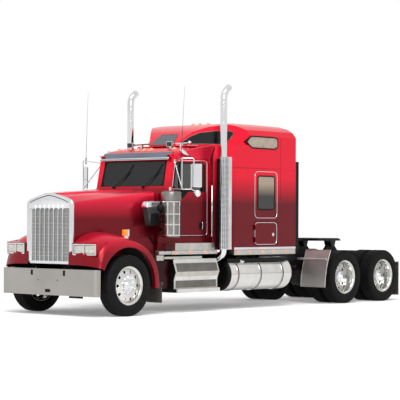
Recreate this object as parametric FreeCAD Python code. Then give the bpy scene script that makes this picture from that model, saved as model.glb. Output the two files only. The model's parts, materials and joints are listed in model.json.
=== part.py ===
import FreeCAD, Part
import math
import os

# Long-nose semi truck tractor with a raised-roof sleeper, in millimetres.
# X runs to the driver's side, Y to the rear and Z up from the ground.
# Everything is drawn with Y counted from the front axle; each saved piece is then
# moved so that the origin lies on the ground under the middle of the truck.

# Wheels and layout
BOGIE_SETBACK = 2312
TANDEM_SPACING = 1320
FRONT_OVERHANG = 775
REAR_OVERHANG = 1260
FLAP_SETBACK = 132
TYRE_R = 525
TYRE_SECTION = 276
TREAD_WIDTH = 226
BEAD_R = 311
RIM_FLANGE_R = 333
BEAD_HALF = 104
RIM_HALF = 118
HUB_R = 95
HUB_DEPTH = 120
AXLE_TUBE_R = 80
AXLE_END_R = 48
WHEEL_FLATS = 20
HUB_FLATS = 12
FRONT_WHEEL_OUTER_X = 1225
REAR_WHEEL_OUTER_X = 1201
DUAL_SPACING = 340
RIM_DISC = 20
HAND_HOLES = 10
HAND_HOLE_R = 27
SHAFT_CLEARANCE = 0.3
HINGE_PIN_R = 7
HINGE_BOSS_R = 13
HINGE_OFFSET = 22
HINGE_HEIGHT = 100
HINGE_LUG = 20
HINGE_FLATS = 8

# Frame
FRAME_WIDTH = 864
RAIL_HEIGHT = 270
RAIL_FLANGE = 90
RAIL_WALL = 9
RAIL_TOP_Z = 1020
CROSS_BASE_Z = 930
CROSS_TOP_Z = 1000
FRAME_FRONT_Y = -640
FRAME_END_PLATE = 10
MOVING_GAP = 6
ENGINE_GAP = 16
ENGINE_REAR_Y = 1040
NOSE_LENGTH = 330
OUTPUT_LENGTH = 270
NOSE_Z = 660

# Bumper
BUMPER_BOTTOM_Z = 351
BUMPER_TOP_Z = 804
BUMPER_HALF_WIDTH = 1154
BUMPER_RETURN = 126
BUMPER_WALL = 8

# Steering
KINGPIN_X = 930
KINGPIN_R = 24
STEER_ARM = 190
STEER_ARM_Z = 407
SPINDLE_R = 42

# Hood, fenders and grille
HOOD_WALL = 12
HOOD_PIVOT_Y = -705
HOOD_PIVOT_Z = 870
HOOD_PIN_R = 8
HOOD_BOSS_R = 14
HOOD_FRONT_Y = -700
HOOD_REAR_Y = 1055
HOOD_BASE_Z = 1010
HOOD_FRONT_HALF = 560
HOOD_REAR_HALF = 800
FENDER_HALF_WIDTH = 1200
FENDER_NOSE_Z = 872
FENDER_TAIL_Z = 455
FENDER_INNER_X = 480
ARCH_R = 655
GRILLE_HALF_WIDTH = 569
GRILLE_BASE_Z = 890
GRILLE_SHOULDER_Z = 1964
GRILLE_CROWN_Z = 2114
GRILLE_FACE_Y = -752
GRILLE_OPENING_HALF = 455
GRILLE_OPENING_TOP_Z = 1822
GRILLE_BARS = 7
GRILLE_BAR_PITCH = 112
LAMP_BASE_Z = 1075
LAMP_TOP_Z = 1195

# Cab
CAB_WALL = 50
CAB_FRONT_Y = 1070
CAB_REAR_Y = 2400
CAB_FLOOR_Z = 1110
CAB_BELT_Z = 2180
CAB_FRONT_HALF = 870
CAB_REAR_HALF = 990
ROOF_HALF = 860
ROOF_REAR_Z = 3005
ROOF_LINE = ((1590, 2915), (1800, 2955), (2150, 2990))
WINDSCREEN_BASE_Y = 1300
WINDSCREEN_TOP_Y = 1415
WINDSCREEN_BASE_Z = 2230
WINDSCREEN_TOP_Z = 2745
GLASS = 6
DOOR_FRONT_Y = 1290
DOOR_REAR_Y = 2280
DOOR_BASE_Z = 1356
DOOR_TOP_Z = 2740
DOOR_GAP = 7
DOOR_HINGES = (1480, 2010)

# Sleeper
SLEEPER_OVERHANG = 210
SLEEPER_FRONT_Y = 2450
SLEEPER_LENGTH = 2170
SLEEPER_BASE_Z = 1105
SLEEPER_WALL = 45
DOORWAY = [(-600, 1250), (600, 1250), (600, 2700), (-600, 2700)]
BAGGAGE_FRONT_Y = 3374
BAGGAGE_REAR_Y = 4048
BAGGAGE_BASE_Z = 1190
BAGGAGE_TOP_Z = 1618
BAGGAGE_HINGES = (1240, 1470)

# Tanks, steps and exhaust
TANK_R = 306
TANK_X = 868
TANK_Z = 648
TANK_FRONT_Y = 2690
STACK_Y = 2500
STACK_R = 64
STACK_TOP_Z = 4144
MUFFLER_R = 127
SHIELD_R = 145
AIR_CLEANER_X = 1130
AIR_CLEANER_Y = 1130
AIR_CLEANER_R = 176

# Fifth wheel
PLATE_TOP_Z = 1290
PLATE_LEAD = 72
PLATE_HALF_WIDTH = 457
KINGPIN_SLOT_R = 25.8

ENGINE_HALF = FRAME_WIDTH / 2 - RAIL_FLANGE - ENGINE_GAP
SLEEPER_HALF = CAB_REAR_HALF + SLEEPER_OVERHANG
SLEEPER_REAR_Y = SLEEPER_FRONT_Y + SLEEPER_LENGTH
WHEELBASE = SLEEPER_REAR_Y + BOGIE_SETBACK
REAR_Y = WHEELBASE + REAR_OVERHANG
FRAME_REAR_Y = REAR_Y - FLAP_SETBACK - FRAME_END_PLATE
MID_Y = (REAR_Y - FRONT_OVERHANG) / 2
TANK_REAR_Y = SLEEPER_REAR_Y - 40
STACK_X = SLEEPER_HALF - 25
PLATE_Y = WHEELBASE - PLATE_LEAD
SIDES = (("left", 1), ("right", -1))


def vec(x, y, z):
    return FreeCAD.Vector(x, y, z)


def save(name, shape):
    """Move a finished piece to the truck's own origin and write it."""
    placed = shape.copy()
    placed.translate(vec(0, -MID_Y, 0))
    placed.exportStep(os.path.join("parts", name + ".step"))


def mirrored(shape):
    return shape.mirror(vec(0, 0, 0), vec(1, 0, 0))


def on_side(shape, side):
    """A left-hand shape as it is, or its mirror image for the right."""
    return shape if side > 0 else mirrored(shape)


def both(shape):
    return Part.makeCompound([shape, mirrored(shape)])


def block(x0, x1, y0, y1, z0, z1):
    return Part.makeBox(x1 - x0, y1 - y0, z1 - z0, vec(x0, y0, z0))


def face_of(points):
    return Part.Face(Part.makePolygon(points + [points[0]]))


def slab_x(yz, x0, x1):
    """A side view outline given a width along X."""
    return face_of([vec(x0, y, z) for y, z in yz]).extrude(vec(x1 - x0, 0, 0))


def slab_y(xz, y0, y1):
    """A front view outline given a length along Y."""
    return face_of([vec(x, y0, z) for x, z in xz]).extrude(vec(0, y1 - y0, 0))


def slab_z(xy, z0, z1):
    """A plan outline given a height along Z."""
    return face_of([vec(x, y, z0) for x, y in xy]).extrude(vec(0, 0, z1 - z0))


def rod(start, end, radius):
    a, b = vec(*start), vec(*end)
    return Part.makeCylinder(radius, (b - a).Length, a, b - a)


def pipe(points, radius, flats=8):
    """A bent tube of flat-sided runs with mitred corners."""
    path = [vec(*p) for p in points]
    runs = [(b - a).normalize() for a, b in zip(path, path[1:])]
    first = runs[0]
    seed = vec(0, 0, 1) if abs(first.z) < 0.9 else vec(0, 1, 0)
    u = first.cross(seed).normalize()
    w = first.cross(u)
    row = []
    for i in range(flats):
        angle = 2 * math.pi * (i + 0.5) / flats
        row.append(path[0] + u * (radius * math.cos(angle)) + w * (radius * math.sin(angle)))
    rows = [row]
    for i, run in enumerate(runs):
        last = i == len(runs) - 1
        normal = run if last else run + runs[i + 1]
        row = [p + run * ((path[i + 1] - p).dot(normal) / run.dot(normal)) for p in row]
        rows.append(row)
    faces = [face_of(rows[0]), face_of(rows[-1])]
    for near, far in zip(rows, rows[1:]):
        faces += [face_of([near[j - 1], near[j], far[j], far[j - 1]]) for j in range(flats)]
    return closed(faces)


def closed(faces):
    solid = Part.makeSolid(Part.makeShell(faces))
    if solid.Volume < 0:
        solid.reverse()
    return solid


def mirror_outline(half):
    """A half outline on the +X side, top to bottom, closed by its mirror image."""
    return half + [(-x, z) for x, z in reversed(half)]


def faceted_ring(profile, x, y, z, flats=WHEEL_FLATS):
    """A closed (x, radius) profile turned about X in flat segments."""
    step = 2 * math.pi / flats
    rows = []
    for i in range(flats):
        angle = step * (i + 0.5)
        rows.append([vec(x + px, y + r * math.sin(angle), z - r * math.cos(angle)) for px, r in profile])
    faces = []
    for i in range(flats):
        near, far = rows[i], rows[(i + 1) % flats]
        for j in range(len(profile)):
            k = (j + 1) % len(profile)
            corners = [near[j], near[k], far[k], far[j]]
            distinct = [c for n, c in enumerate(corners) if (c - corners[n - 1]).Length > 0.01]
            if len(distinct) > 2:
                faces.append(face_of(distinct))
    return closed(faces)


def drum(profile, x, y, z, flats):
    """A closed (y, radius) profile turned about Y in flat segments."""
    turned = faceted_ring(profile, 0, 0, 0, flats)
    turned.rotate(vec(0, 0, 0), vec(0, 0, 1), 90)
    turned.translate(vec(x, y, z))
    return turned


def hinge_lugs(x, y, z, wall):
    """Fixed half of an upright hinge: two lugs on the wall's skin with the pin between them."""
    half = pipe([(x, y, z), (x, y, z + HINGE_HEIGHT)], HINGE_PIN_R, HINGE_FLATS)
    for z0 in (z, z + HINGE_HEIGHT - HINGE_LUG):
        strap = block(x - 60, x, y - 34, y - DOOR_GAP / 2, z0, z0 + HINGE_LUG).cut(wall)
        half = half.fuse(strap).fuse(pipe([(x, y, z0), (x, y, z0 + HINGE_LUG)], HINGE_BOSS_R, HINGE_FLATS))
    return half


def hinge_leaf(x, y, z, wall):
    """Moving half: a bored boss round the pin with its strap on the door's skin."""
    z0, z1 = z + HINGE_LUG + SHAFT_CLEARANCE, z + HINGE_HEIGHT - HINGE_LUG - SHAFT_CLEARANCE
    strap = block(x - 60, x, y + DOOR_GAP / 2, y + 44, z0, z1).cut(wall)
    leaf = strap.fuse(pipe([(x, y, z0), (x, y, z1)], HINGE_BOSS_R, HINGE_FLATS))
    bore_r = (HINGE_PIN_R + SHAFT_CLEARANCE) / math.cos(math.pi / HINGE_FLATS)
    return leaf.cut(pipe([(x, y, z0 - 1), (x, y, z1 + 1)], bore_r, HINGE_FLATS))


# Wheels

def tyre_profile():
    half, tread = TYRE_SECTION / 2, TREAD_WIDTH / 2
    flat_r = TYRE_R / math.cos(math.pi / WHEEL_FLATS)
    return [(-BEAD_HALF, BEAD_R), (-half, 415), (-half + 8, 480), (-tread, flat_r),
            (tread, flat_r), (half - 8, 480), (half, 415), (BEAD_HALF, BEAD_R)]


def tyre(x, y):
    return faceted_ring(tyre_profile(), x, y, TYRE_R)


def hand_holes(x0, x1, y, pitch_r):
    holes = []
    for i in range(HAND_HOLES):
        angle = 2 * math.pi * (i + 0.5) / HAND_HOLES
        cy, cz = y + pitch_r * math.cos(angle), TYRE_R + pitch_r * math.sin(angle)
        outline = [(cy + HAND_HOLE_R * math.cos(math.pi * k / 3),
                    cz + HAND_HOLE_R * math.sin(math.pi * k / 3))
                   for k in range(6)]
        holes.append(slab_x(outline, x0, x1))
    return Part.makeCompound(holes)


def barrel():
    """The tyre seat from lip to lip, as the outer part of a rim's profile."""
    return [(-RIM_HALF, RIM_FLANGE_R), (-BEAD_HALF, BEAD_R), (BEAD_HALF, BEAD_R), (RIM_HALF, RIM_FLANGE_R),
            (RIM_HALF, 300)]


def front_rim(x, y):
    """Barrel with its disc bulging outwards, hub and hub cap; x is the tyre's middle."""
    face = 72
    disc = barrel() + [(face, 286), (face, HUB_R - 5), (face - RIM_DISC, HUB_R - 5), (face - RIM_DISC, 286),
                       (-RIM_HALF, 300)]
    wheel = faceted_ring(disc, x, y, TYRE_R).removeSplitter()
    wheel = wheel.cut(hand_holes(x + face - RIM_DISC - 5, x + face + 5, y, 240))
    hub = [(-20, 0), (-20, HUB_R), (face, HUB_R + 15), (118, 92), (130, 60), (130, 0)]
    wheel = wheel.fuse(faceted_ring(hub, x, y, TYRE_R, HUB_FLATS))
    return wheel.cut(rod((x - 30, y, TYRE_R), (x + face - 5, y, TYRE_R), SPINDLE_R + SHAFT_CLEARANCE))


def rear_rims(y):
    """The outer rim's deep dish with its hub and cap, and the inner rim bolted behind it."""
    outer_x = REAR_WHEEL_OUTER_X - TYRE_SECTION / 2
    seat = -92 - RIM_DISC
    dish = barrel() + [(-92, 286), (-92, HUB_R - 5), (seat, HUB_R - 5), (seat, 286)]
    outer = faceted_ring(dish, outer_x, y, TYRE_R).removeSplitter()
    outer = outer.cut(hand_holes(outer_x + seat - 5, outer_x - 87, y, 242))
    inner_x = outer_x - DUAL_SPACING
    seat += DUAL_SPACING
    hoop = barrel()[:4] + [(seat, 290), (seat, 190), (seat - 16, 190), (seat - 16, 268), (-RIM_HALF, 284)]
    inner = faceted_ring(hoop, inner_x, y, TYRE_R).removeSplitter()
    hub = [(seat - DUAL_SPACING - HUB_DEPTH, 0), (seat - DUAL_SPACING - HUB_DEPTH, HUB_R), (-20, HUB_R + 20),
           (10, 90),
           (40, 42), (40, 0)]
    hub = faceted_ring(hub, outer_x, y, TYRE_R, HUB_FLATS)
    bore = rod((inner_x, y, TYRE_R), (outer_x - 20, y, TYRE_R), AXLE_END_R + SHAFT_CLEARANCE)
    return outer.fuse(inner).fuse(hub).cut(bore)


def wheels():
    front_x = FRONT_WHEEL_OUTER_X - TYRE_SECTION / 2
    rear_x = REAR_WHEEL_OUTER_X - TYRE_SECTION / 2
    for name, side in SIDES:
        save("tyre_front_" + name, on_side(tyre(front_x, 0), side))
        save("rim_front_" + name, on_side(front_rim(front_x, 0), side))
        for row, sign in (("forward", -1), ("rearmost", 1)):
            y = WHEELBASE + sign * TANDEM_SPACING / 2
            pair = Part.makeCompound([tyre(rear_x, y), tyre(rear_x - DUAL_SPACING, y)])
            save("tyres_%s_%s" % (row, name), on_side(pair, side))
            save("rims_%s_%s" % (row, name), on_side(rear_rims(y), side))


# Chassis

def frame_rails():
    half = FRAME_WIDTH / 2
    top, bottom = RAIL_TOP_Z, RAIL_TOP_Z - RAIL_HEIGHT
    channel = [(half, bottom), (half, top), (half - RAIL_FLANGE, top), (half - RAIL_FLANGE, top - RAIL_WALL),
               (half - RAIL_WALL, top - RAIL_WALL), (half - RAIL_WALL, bottom + RAIL_WALL),
               (half - RAIL_FLANGE, bottom + RAIL_WALL), (half - RAIL_FLANGE, bottom)]
    rail = slab_y(channel, FRAME_FRONT_Y, FRAME_REAR_Y)
    frame = rail.fuse(mirrored(rail))
    web = half - RAIL_WALL
    for y in (-560, 2150, 3300, SLEEPER_REAR_Y + 80, WHEELBASE - 832, WHEELBASE, WHEELBASE + 828):
        frame = frame.fuse(block(-web, web, y - 45, y + 45, CROSS_BASE_Z, CROSS_TOP_Z))
    frame = frame.fuse(block(-half, half, FRAME_REAR_Y, FRAME_REAR_Y + FRAME_END_PLATE, bottom, top))
    horn = slab_x([(FRAME_FRONT_Y, 830), (FRAME_FRONT_Y, 880), (HOOD_PIVOT_Y, HOOD_PIVOT_Z + HOOD_BOSS_R - 2),
                   (HOOD_PIVOT_Y, HOOD_PIVOT_Z - HOOD_BOSS_R + 2)], web, half)
    horn = horn.fuse(pipe([(web, HOOD_PIVOT_Y, HOOD_PIVOT_Z), (half, HOOD_PIVOT_Y, HOOD_PIVOT_Z)],
                          HOOD_BOSS_R, 12))
    horn = horn.cut(rod((web - 1, HOOD_PIVOT_Y, HOOD_PIVOT_Z), (half + 1, HOOD_PIVOT_Y, HOOD_PIVOT_Z),
                        HOOD_PIN_R + SHAFT_CLEARANCE))
    return frame.fuse(both(horn)).removeSplitter()


def body_mounts():
    """Blocks that carry the cab and the sleeper on the rails and the engine between them."""
    half = FRAME_WIDTH / 2
    mounts = []
    for y, top in ((1160, CAB_FLOOR_Z), (2280, CAB_FLOOR_Z), (2700, SLEEPER_BASE_Z), (3560, SLEEPER_BASE_Z),
                   (SLEEPER_REAR_Y - 180, SLEEPER_BASE_Z)):
        mounts.append(block(half - RAIL_FLANGE, half, y - 45, y + 45, RAIL_TOP_Z, top))
    for y in (60, 860):
        mounts.append(block(ENGINE_HALF, half - RAIL_WALL, y - 60, y + 60, 820, 950))
    return both(Part.makeCompound(mounts))


def front_bumper():
    back = -FRONT_OVERHANG + BUMPER_RETURN
    plan = [(-BUMPER_HALF_WIDTH, back), (-BUMPER_HALF_WIDTH, -FRONT_OVERHANG + 40),
            (-BUMPER_HALF_WIDTH + 30, -FRONT_OVERHANG), (BUMPER_HALF_WIDTH - 30, -FRONT_OVERHANG),
            (BUMPER_HALF_WIDTH, -FRONT_OVERHANG + 40), (BUMPER_HALF_WIDTH, back)]
    inner = [(-BUMPER_HALF_WIDTH + BUMPER_WALL, back), (-BUMPER_HALF_WIDTH + BUMPER_WALL,
                                                        -FRONT_OVERHANG + 43),
             (-BUMPER_HALF_WIDTH + 33, -FRONT_OVERHANG + BUMPER_WALL),
             (BUMPER_HALF_WIDTH - 33, -FRONT_OVERHANG + BUMPER_WALL),
             (BUMPER_HALF_WIDTH - BUMPER_WALL, -FRONT_OVERHANG + 43), (BUMPER_HALF_WIDTH - BUMPER_WALL, back)]
    shell = slab_z(plan, BUMPER_BOTTOM_Z, BUMPER_TOP_Z)
    shell = shell.cut(slab_z(inner, BUMPER_BOTTOM_Z + BUMPER_WALL, BUMPER_TOP_Z - BUMPER_WALL))
    for x in (-400, 400):
        shell = shell.cut(block(x - 28, x + 28, -FRONT_OVERHANG - 5, -FRONT_OVERHANG + 30, 690, 780))
    shell = shell.cut(block(-65, 65, -FRONT_OVERHANG - 5, -FRONT_OVERHANG + 30, 400, 455))
    half = FRAME_WIDTH / 2
    for x0 in (-half, half - RAIL_FLANGE):
        shell = shell.fuse(block(x0, x0 + RAIL_FLANGE, -FRONT_OVERHANG + BUMPER_WALL, FRAME_FRONT_Y, 783,
                                 793))
    return shell


def engine():
    return block(-ENGINE_HALF, ENGINE_HALF, -130, ENGINE_REAR_Y, 640, 1760)


def driveline():
    """Gearbox behind the engine, then the drive shafts to both axles."""
    gearbox = slab_x([(ENGINE_REAR_Y, 640), (ENGINE_REAR_Y, 1080), (1400, 1060), (1950, 1000), (1950, 780),
                      (1400, 700)], -190, 190)
    first = WHEELBASE - TANDEM_SPACING / 2
    end = first - NOSE_LENGTH
    long_shaft = pipe([(0, 1940, 880), (0, 2000, 880), (0, end - 50, NOSE_Z), (0, end, NOSE_Z)], 50, 12)
    short_shaft = pipe([(0, first + OUTPUT_LENGTH, NOSE_Z), (0, first + TANDEM_SPACING - NOSE_LENGTH,
                                                             NOSE_Z)], 45,
                       12)
    return Part.makeCompound([gearbox.fuse(long_shaft), short_shaft])


def radiator():
    half = FRAME_WIDTH / 2 - 2
    return block(-half, half, -560, -470, RAIL_TOP_Z, 1850)


def front_axle():
    """Dropped I-beam with an upright eye for the kingpin at each end."""
    profile = [(0, 400), (420, 400), (600, 455), (KINGPIN_X - 40, 470), (KINGPIN_X - 40, 570),
               (600, 555), (420, 500), (0, 500)]
    beam = slab_y(mirror_outline(profile), -55, 55)
    flute = [(0, 425), (410, 425), (590, 478), (KINGPIN_X - 130, 490), (KINGPIN_X - 130, 550),
             (590, 532), (410, 475), (0, 475)]
    for y0, y1 in ((-56, -18), (18, 56)):
        beam = beam.cut(slab_y(mirror_outline(flute), y0, y1))
    for side in (1, -1):
        x = side * KINGPIN_X
        beam = beam.fuse(pipe([(x, 0, 462), (x, 0, 578)], 56, 12))
        beam = beam.cut(rod((x, 0, 450), (x, 0, 590), KINGPIN_R + SHAFT_CLEARANCE))
    return beam.removeSplitter()


def front_suspension():
    """Leaf packs on the axle with their hangers on the rails."""
    x0, x1 = ENGINE_HALF + MOVING_GAP, FRAME_WIDTH / 2 - 12
    leaves = slab_x([(-600, 640), (-600, 660), (-200, 560), (200, 560), (700, 660), (700, 640), (200, 500),
                     (-200, 500)], x0, x1)
    hangers = [block(x0, x1, y - 35, y + 35, 660, RAIL_TOP_Z - RAIL_HEIGHT) for y in (-565, 665)]
    side = leaves
    for hanger in hangers:
        side = side.fuse(hanger)
    return both(side)


def knuckle(side):
    """Yoke above and below the axle eye, kingpin, spindle and steering arm."""
    low, high = STEER_ARM_Z + 50, 578 + MOVING_GAP
    piece = rod((KINGPIN_X, 0, low - 50), (KINGPIN_X, 0, high + 50), KINGPIN_R)
    for z in (low - 50, high):
        piece = piece.fuse(pipe([(KINGPIN_X, 0, z), (KINGPIN_X, 0, z + 50)], 52, 12))
    piece = piece.fuse(block(KINGPIN_X + 62, KINGPIN_X + 100, -60, 60, low - 50, high + 50))
    for z in (low - 50, high):
        piece = piece.fuse(block(KINGPIN_X, KINGPIN_X + 70, -45, 45, z, z + 50))
    spindle_end = FRONT_WHEEL_OUTER_X - TYRE_SECTION / 2 + 66
    piece = piece.fuse(rod((KINGPIN_X + 90, 0, TYRE_R), (spindle_end, 0, TYRE_R), SPINDLE_R))
    arm = slab_z([(KINGPIN_X - 40, STEER_ARM + 30), (KINGPIN_X + 20, STEER_ARM + 30), (KINGPIN_X + 40, 20),
                  (KINGPIN_X - 30, 20)], low - 50, low - 20)
    piece = piece.fuse(arm).removeSplitter()
    return on_side(piece, side)


def tie_rod():
    """Cross rod behind the axle with a ball joint boss under each steering arm."""
    z = STEER_ARM_Z - SHAFT_CLEARANCE - 30
    x = KINGPIN_X - 10
    bar = pipe([(-x, STEER_ARM, z), (x, STEER_ARM, z)], 20, 10)
    for end in (x, -x):
        bar = bar.fuse(pipe([(end, STEER_ARM, z - 30), (end, STEER_ARM, z + 30)], 30, 14))
    return bar


def drive_axles():
    """Two axle tubes with turned ends, a round differential housing and a pinion nose each."""
    axles = []
    hub_x = REAR_WHEEL_OUTER_X - TYRE_SECTION / 2
    tube_end, spindle_end = hub_x - 92 - RIM_DISC - HUB_DEPTH - MOVING_GAP, hub_x - 25
    for sign in (-1, 1):
        y = WHEELBASE + sign * TANDEM_SPACING / 2
        axle = pipe([(-tube_end, y, TYRE_R), (tube_end, y, TYRE_R)], AXLE_TUBE_R, 12)
        for end in (-1, 1):
            axle = axle.fuse(rod((end * tube_end, y, TYRE_R), (end * spindle_end, y, TYRE_R), AXLE_END_R))
        bowl = faceted_ring([(-190, 0), (-190, 120), (-90, 225), (90, 225), (190, 120), (190, 0)], 0, y,
                            TYRE_R + 20, 14)
        nose = pipe([(0, y - NOSE_LENGTH, NOSE_Z), (0, y - 280, NOSE_Z), (0, y - 40, NOSE_Z - 60)], 90, 8)
        axle = axle.fuse(bowl).fuse(nose)
        if sign < 0:
            output = pipe([(0, y + 60, NOSE_Z - 20), (0, y + 230, NOSE_Z), (0, y + OUTPUT_LENGTH, NOSE_Z)],
                          60, 8)
            axle = axle.fuse(output)
        axles.append(axle)
    return Part.makeCompound(axles)


def rear_suspension():
    """Trailing arms hung under the rails with an air spring behind each axle."""
    pieces = []
    under = RAIL_TOP_Z - RAIL_HEIGHT
    x0, x1 = FRAME_WIDTH / 2 - RAIL_FLANGE, FRAME_WIDTH / 2
    for sign in (-1, 1):
        y = WHEELBASE + sign * TANDEM_SPACING / 2
        arm = slab_x([(y - 520, 640), (y - 520, under), (y - 440, under), (y - 110, 665), (y + 120, 665),
                      (y + 250, 500), (y + 480, 500), (y + 480, 440), (y + 230, 440), (y + 100, 600),
                      (y - 120, 600)],
                     x0, x1)
        arm = arm.cut(pipe([(x0 - 1, y, TYRE_R), (x1 + 1, y, TYRE_R)], AXLE_TUBE_R, 12))
        spring = pipe([((x0 + x1) / 2, y + 365, 500), ((x0 + x1) / 2, y + 365, under)], 108, 14)
        pieces.append(arm.fuse(spring))
    return both(Part.makeCompound(pieces))


def fifth_wheel_base():
    """Slide plate across the rails with a pivot bracket each side."""
    plate = block(-FRAME_WIDTH / 2, FRAME_WIDTH / 2, PLATE_Y - 520, PLATE_Y + 420, RAIL_TOP_Z,
                  RAIL_TOP_Z + 16)
    cheek = slab_x([(PLATE_Y - 230, RAIL_TOP_Z + 16), (PLATE_Y - 60, PLATE_TOP_Z - 90),
                    (PLATE_Y + 60, PLATE_TOP_Z - 90), (PLATE_Y + 230, RAIL_TOP_Z + 16)], 330, 385)
    base = plate.fuse(cheek).fuse(mirrored(cheek))
    return base.cut(rod((-500, PLATE_Y, PLATE_TOP_Z - 140), (500, PLATE_Y, PLATE_TOP_Z - 140),
                        25 + SHAFT_CLEARANCE))


def fifth_wheel_plate():
    """Plate with a rounded nose, a slot for the trailer's kingpin and two sloping horns."""
    y0 = PLATE_Y - 480
    outline = [(-200, y0), (200, y0), (380, y0 + 90), (PLATE_HALF_WIDTH, y0 + 260),
               (PLATE_HALF_WIDTH, PLATE_Y + 200),
               (330, PLATE_Y + 420), (230, PLATE_Y + 420), (60, PLATE_Y + 150)]
    half = [(x, y) for x, y in outline if x > 0]
    plan = half + [(-x, y) for x, y in reversed(half)]
    plate = slab_z(plan, PLATE_TOP_Z - 55, PLATE_TOP_Z)
    slope = slab_x([(PLATE_Y + 130, PLATE_TOP_Z + 1), (PLATE_Y + 430, PLATE_TOP_Z + 1),
                    (PLATE_Y + 430, PLATE_TOP_Z - 52)], -500, 500)
    plate = plate.cut(slope)
    throat = slab_z([(-KINGPIN_SLOT_R, PLATE_Y), (KINGPIN_SLOT_R, PLATE_Y), (60, PLATE_Y + 152),
                     (-60, PLATE_Y + 152)], PLATE_TOP_Z - 60, PLATE_TOP_Z + 5)
    plate = plate.cut(throat).cut(rod((0, PLATE_Y, PLATE_TOP_Z - 60), (0, PLATE_Y, PLATE_TOP_Z + 5),
                                      KINGPIN_SLOT_R))
    for x0, x1 in ((270, 324), (391, 440)):
        for side in (1, -1):
            ear = slab_x([(PLATE_Y - 90, PLATE_TOP_Z - 55), (PLATE_Y - 45, PLATE_TOP_Z - 175),
                          (PLATE_Y + 45, PLATE_TOP_Z - 175), (PLATE_Y + 90, PLATE_TOP_Z - 55)], x0, x1)
            plate = plate.fuse(on_side(ear, side))
    for side in (1, -1):
        plate = plate.fuse(rod((side * 300, PLATE_Y, PLATE_TOP_Z - 140),
                               (side * 415, PLATE_Y, PLATE_TOP_Z - 140), 25))
    return plate


# Hood and its lamps

def hood_section(y, half, base, shoulder, crown, inset):
    top = [(half - inset, base), (half - inset, shoulder - 70), (half - inset - 25, shoulder - 22),
           (half - inset - 80, shoulder + 4), (half * 0.45, crown - 14), (half * 0.30, crown)]
    lifted = [(x, z - (0 if i < 1 else inset)) for i, (x, z) in enumerate(top)]
    return [vec(x, y, z) for x, z in mirror_outline(lifted)]


def hood_volume(inset):
    front = hood_section(HOOD_FRONT_Y, HOOD_FRONT_HALF, HOOD_BASE_Z, 1950, 2116, inset)
    rear = hood_section(HOOD_REAR_Y, HOOD_REAR_HALF, HOOD_BASE_Z, 2150, 2186, inset)
    faces = [face_of(front), face_of(rear)]
    for j in range(len(front)):
        faces.append(face_of([front[j - 1], front[j], rear[j]]))
        faces.append(face_of([front[j - 1], rear[j], rear[j - 1]]))
    return closed(faces)


def fender_outline(inset):
    """Side view of a front fender above its wheel arch."""
    return [(-765 + inset, FENDER_NOSE_Z), (-765 + inset, 950), (-735 + inset, 1080),
            (-640 + inset, 1235 - inset),
            (-430, 1300 - inset), (-60, 1335 - inset), (150, 1318 - inset), (400, 1225 - inset),
            (590 - inset, 1075 - inset), (720 - inset, 900), (790 - inset, 700), (812 - inset, 500),
            (812 - inset, FENDER_TAIL_Z), (0, FENDER_TAIL_Z), (-600, FENDER_NOSE_Z)]


def fender_volume(inset, inner_x):
    body = slab_x(fender_outline(inset), inner_x, FENDER_HALF_WIDTH - inset)
    edge = 70 - inset / 2
    corner = [(FENDER_HALF_WIDTH + 10, 1400), (FENDER_HALF_WIDTH + 10, 1335 - edge * 2.2),
              (FENDER_HALF_WIDTH - inset, 1335 - edge * 2.2), (FENDER_HALF_WIDTH - inset - 190, 1340 - inset),
              (FENDER_HALF_WIDTH - inset - 190, 1400)]
    return body.cut(slab_y(corner, -900, 900))


def hood():
    """One shell: nose, sides and both fenders, open below and at the grille."""
    outer = hood_volume(0)
    inner = hood_volume(HOOD_WALL)
    flat_r = ARCH_R / math.cos(math.pi / 32)
    well = faceted_ring([(-1300, 0), (-1300, flat_r), (1300, flat_r), (1300, 0)], 0, 0, TYRE_R, 32)
    for side in (1, -1):
        outer = outer.fuse(on_side(fender_volume(0, FENDER_INNER_X), side))
    shell = outer
    for side in (1, -1):
        shell = shell.cut(on_side(fender_volume(HOOD_WALL, 0), side))
    shell = shell.cut(inner).cut(well)
    seat = GRILLE_HALF_WIDTH + 3
    shell = shell.cut(block(-seat, seat, -FRONT_OVERHANG - 5, HOOD_FRONT_Y, 800, 2200))
    for side in (1, -1):
        shell = shell.cut(on_side(slab_z(lamp_plan(), LAMP_BASE_Z, LAMP_TOP_Z), side))
    return shell


def grille_surround():
    """Polished shell round the opening with a crowned header."""
    outer = mirror_outline([(0, GRILLE_CROWN_Z), (300, GRILLE_CROWN_Z - 45), (GRILLE_HALF_WIDTH - 45, 2000),
                            (GRILLE_HALF_WIDTH, GRILLE_SHOULDER_Z - 40),
                            (GRILLE_HALF_WIDTH, GRILLE_BASE_Z)][1:])
    outer = [(0, GRILLE_CROWN_Z)] + outer
    hole = [(-GRILLE_OPENING_HALF, GRILLE_BASE_Z + 45), (GRILLE_OPENING_HALF, GRILLE_BASE_Z + 45),
            (GRILLE_OPENING_HALF, GRILLE_OPENING_TOP_Z), (-GRILLE_OPENING_HALF, GRILLE_OPENING_TOP_Z)]
    back = HOOD_FRONT_Y
    shell = slab_y(outer, GRILLE_FACE_Y, back).cut(slab_y(hole, GRILLE_FACE_Y - 1, back + 1))
    side = [(back, 945), (back + 14, 945), (back + 14, 862), (back + 5, 856), (back - 15, 856),
            (back - 19, 864),
            (back - 19, 876), (back - 12, GRILLE_BASE_Z), (back, GRILLE_BASE_Z)]
    inner, outer = FRAME_WIDTH / 2 - RAIL_WALL - SHAFT_CLEARANCE, FRAME_WIDTH / 2 + SHAFT_CLEARANCE
    lugs = slab_x(side, inner - 13, inner).fuse(slab_x(side, outer, outer + 13))
    pin = rod((inner - 13, HOOD_PIVOT_Y, HOOD_PIVOT_Z), (outer + 13, HOOD_PIVOT_Y, HOOD_PIVOT_Z), HOOD_PIN_R)
    return shell.fuse(both(lugs.fuse(pin)))


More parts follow.
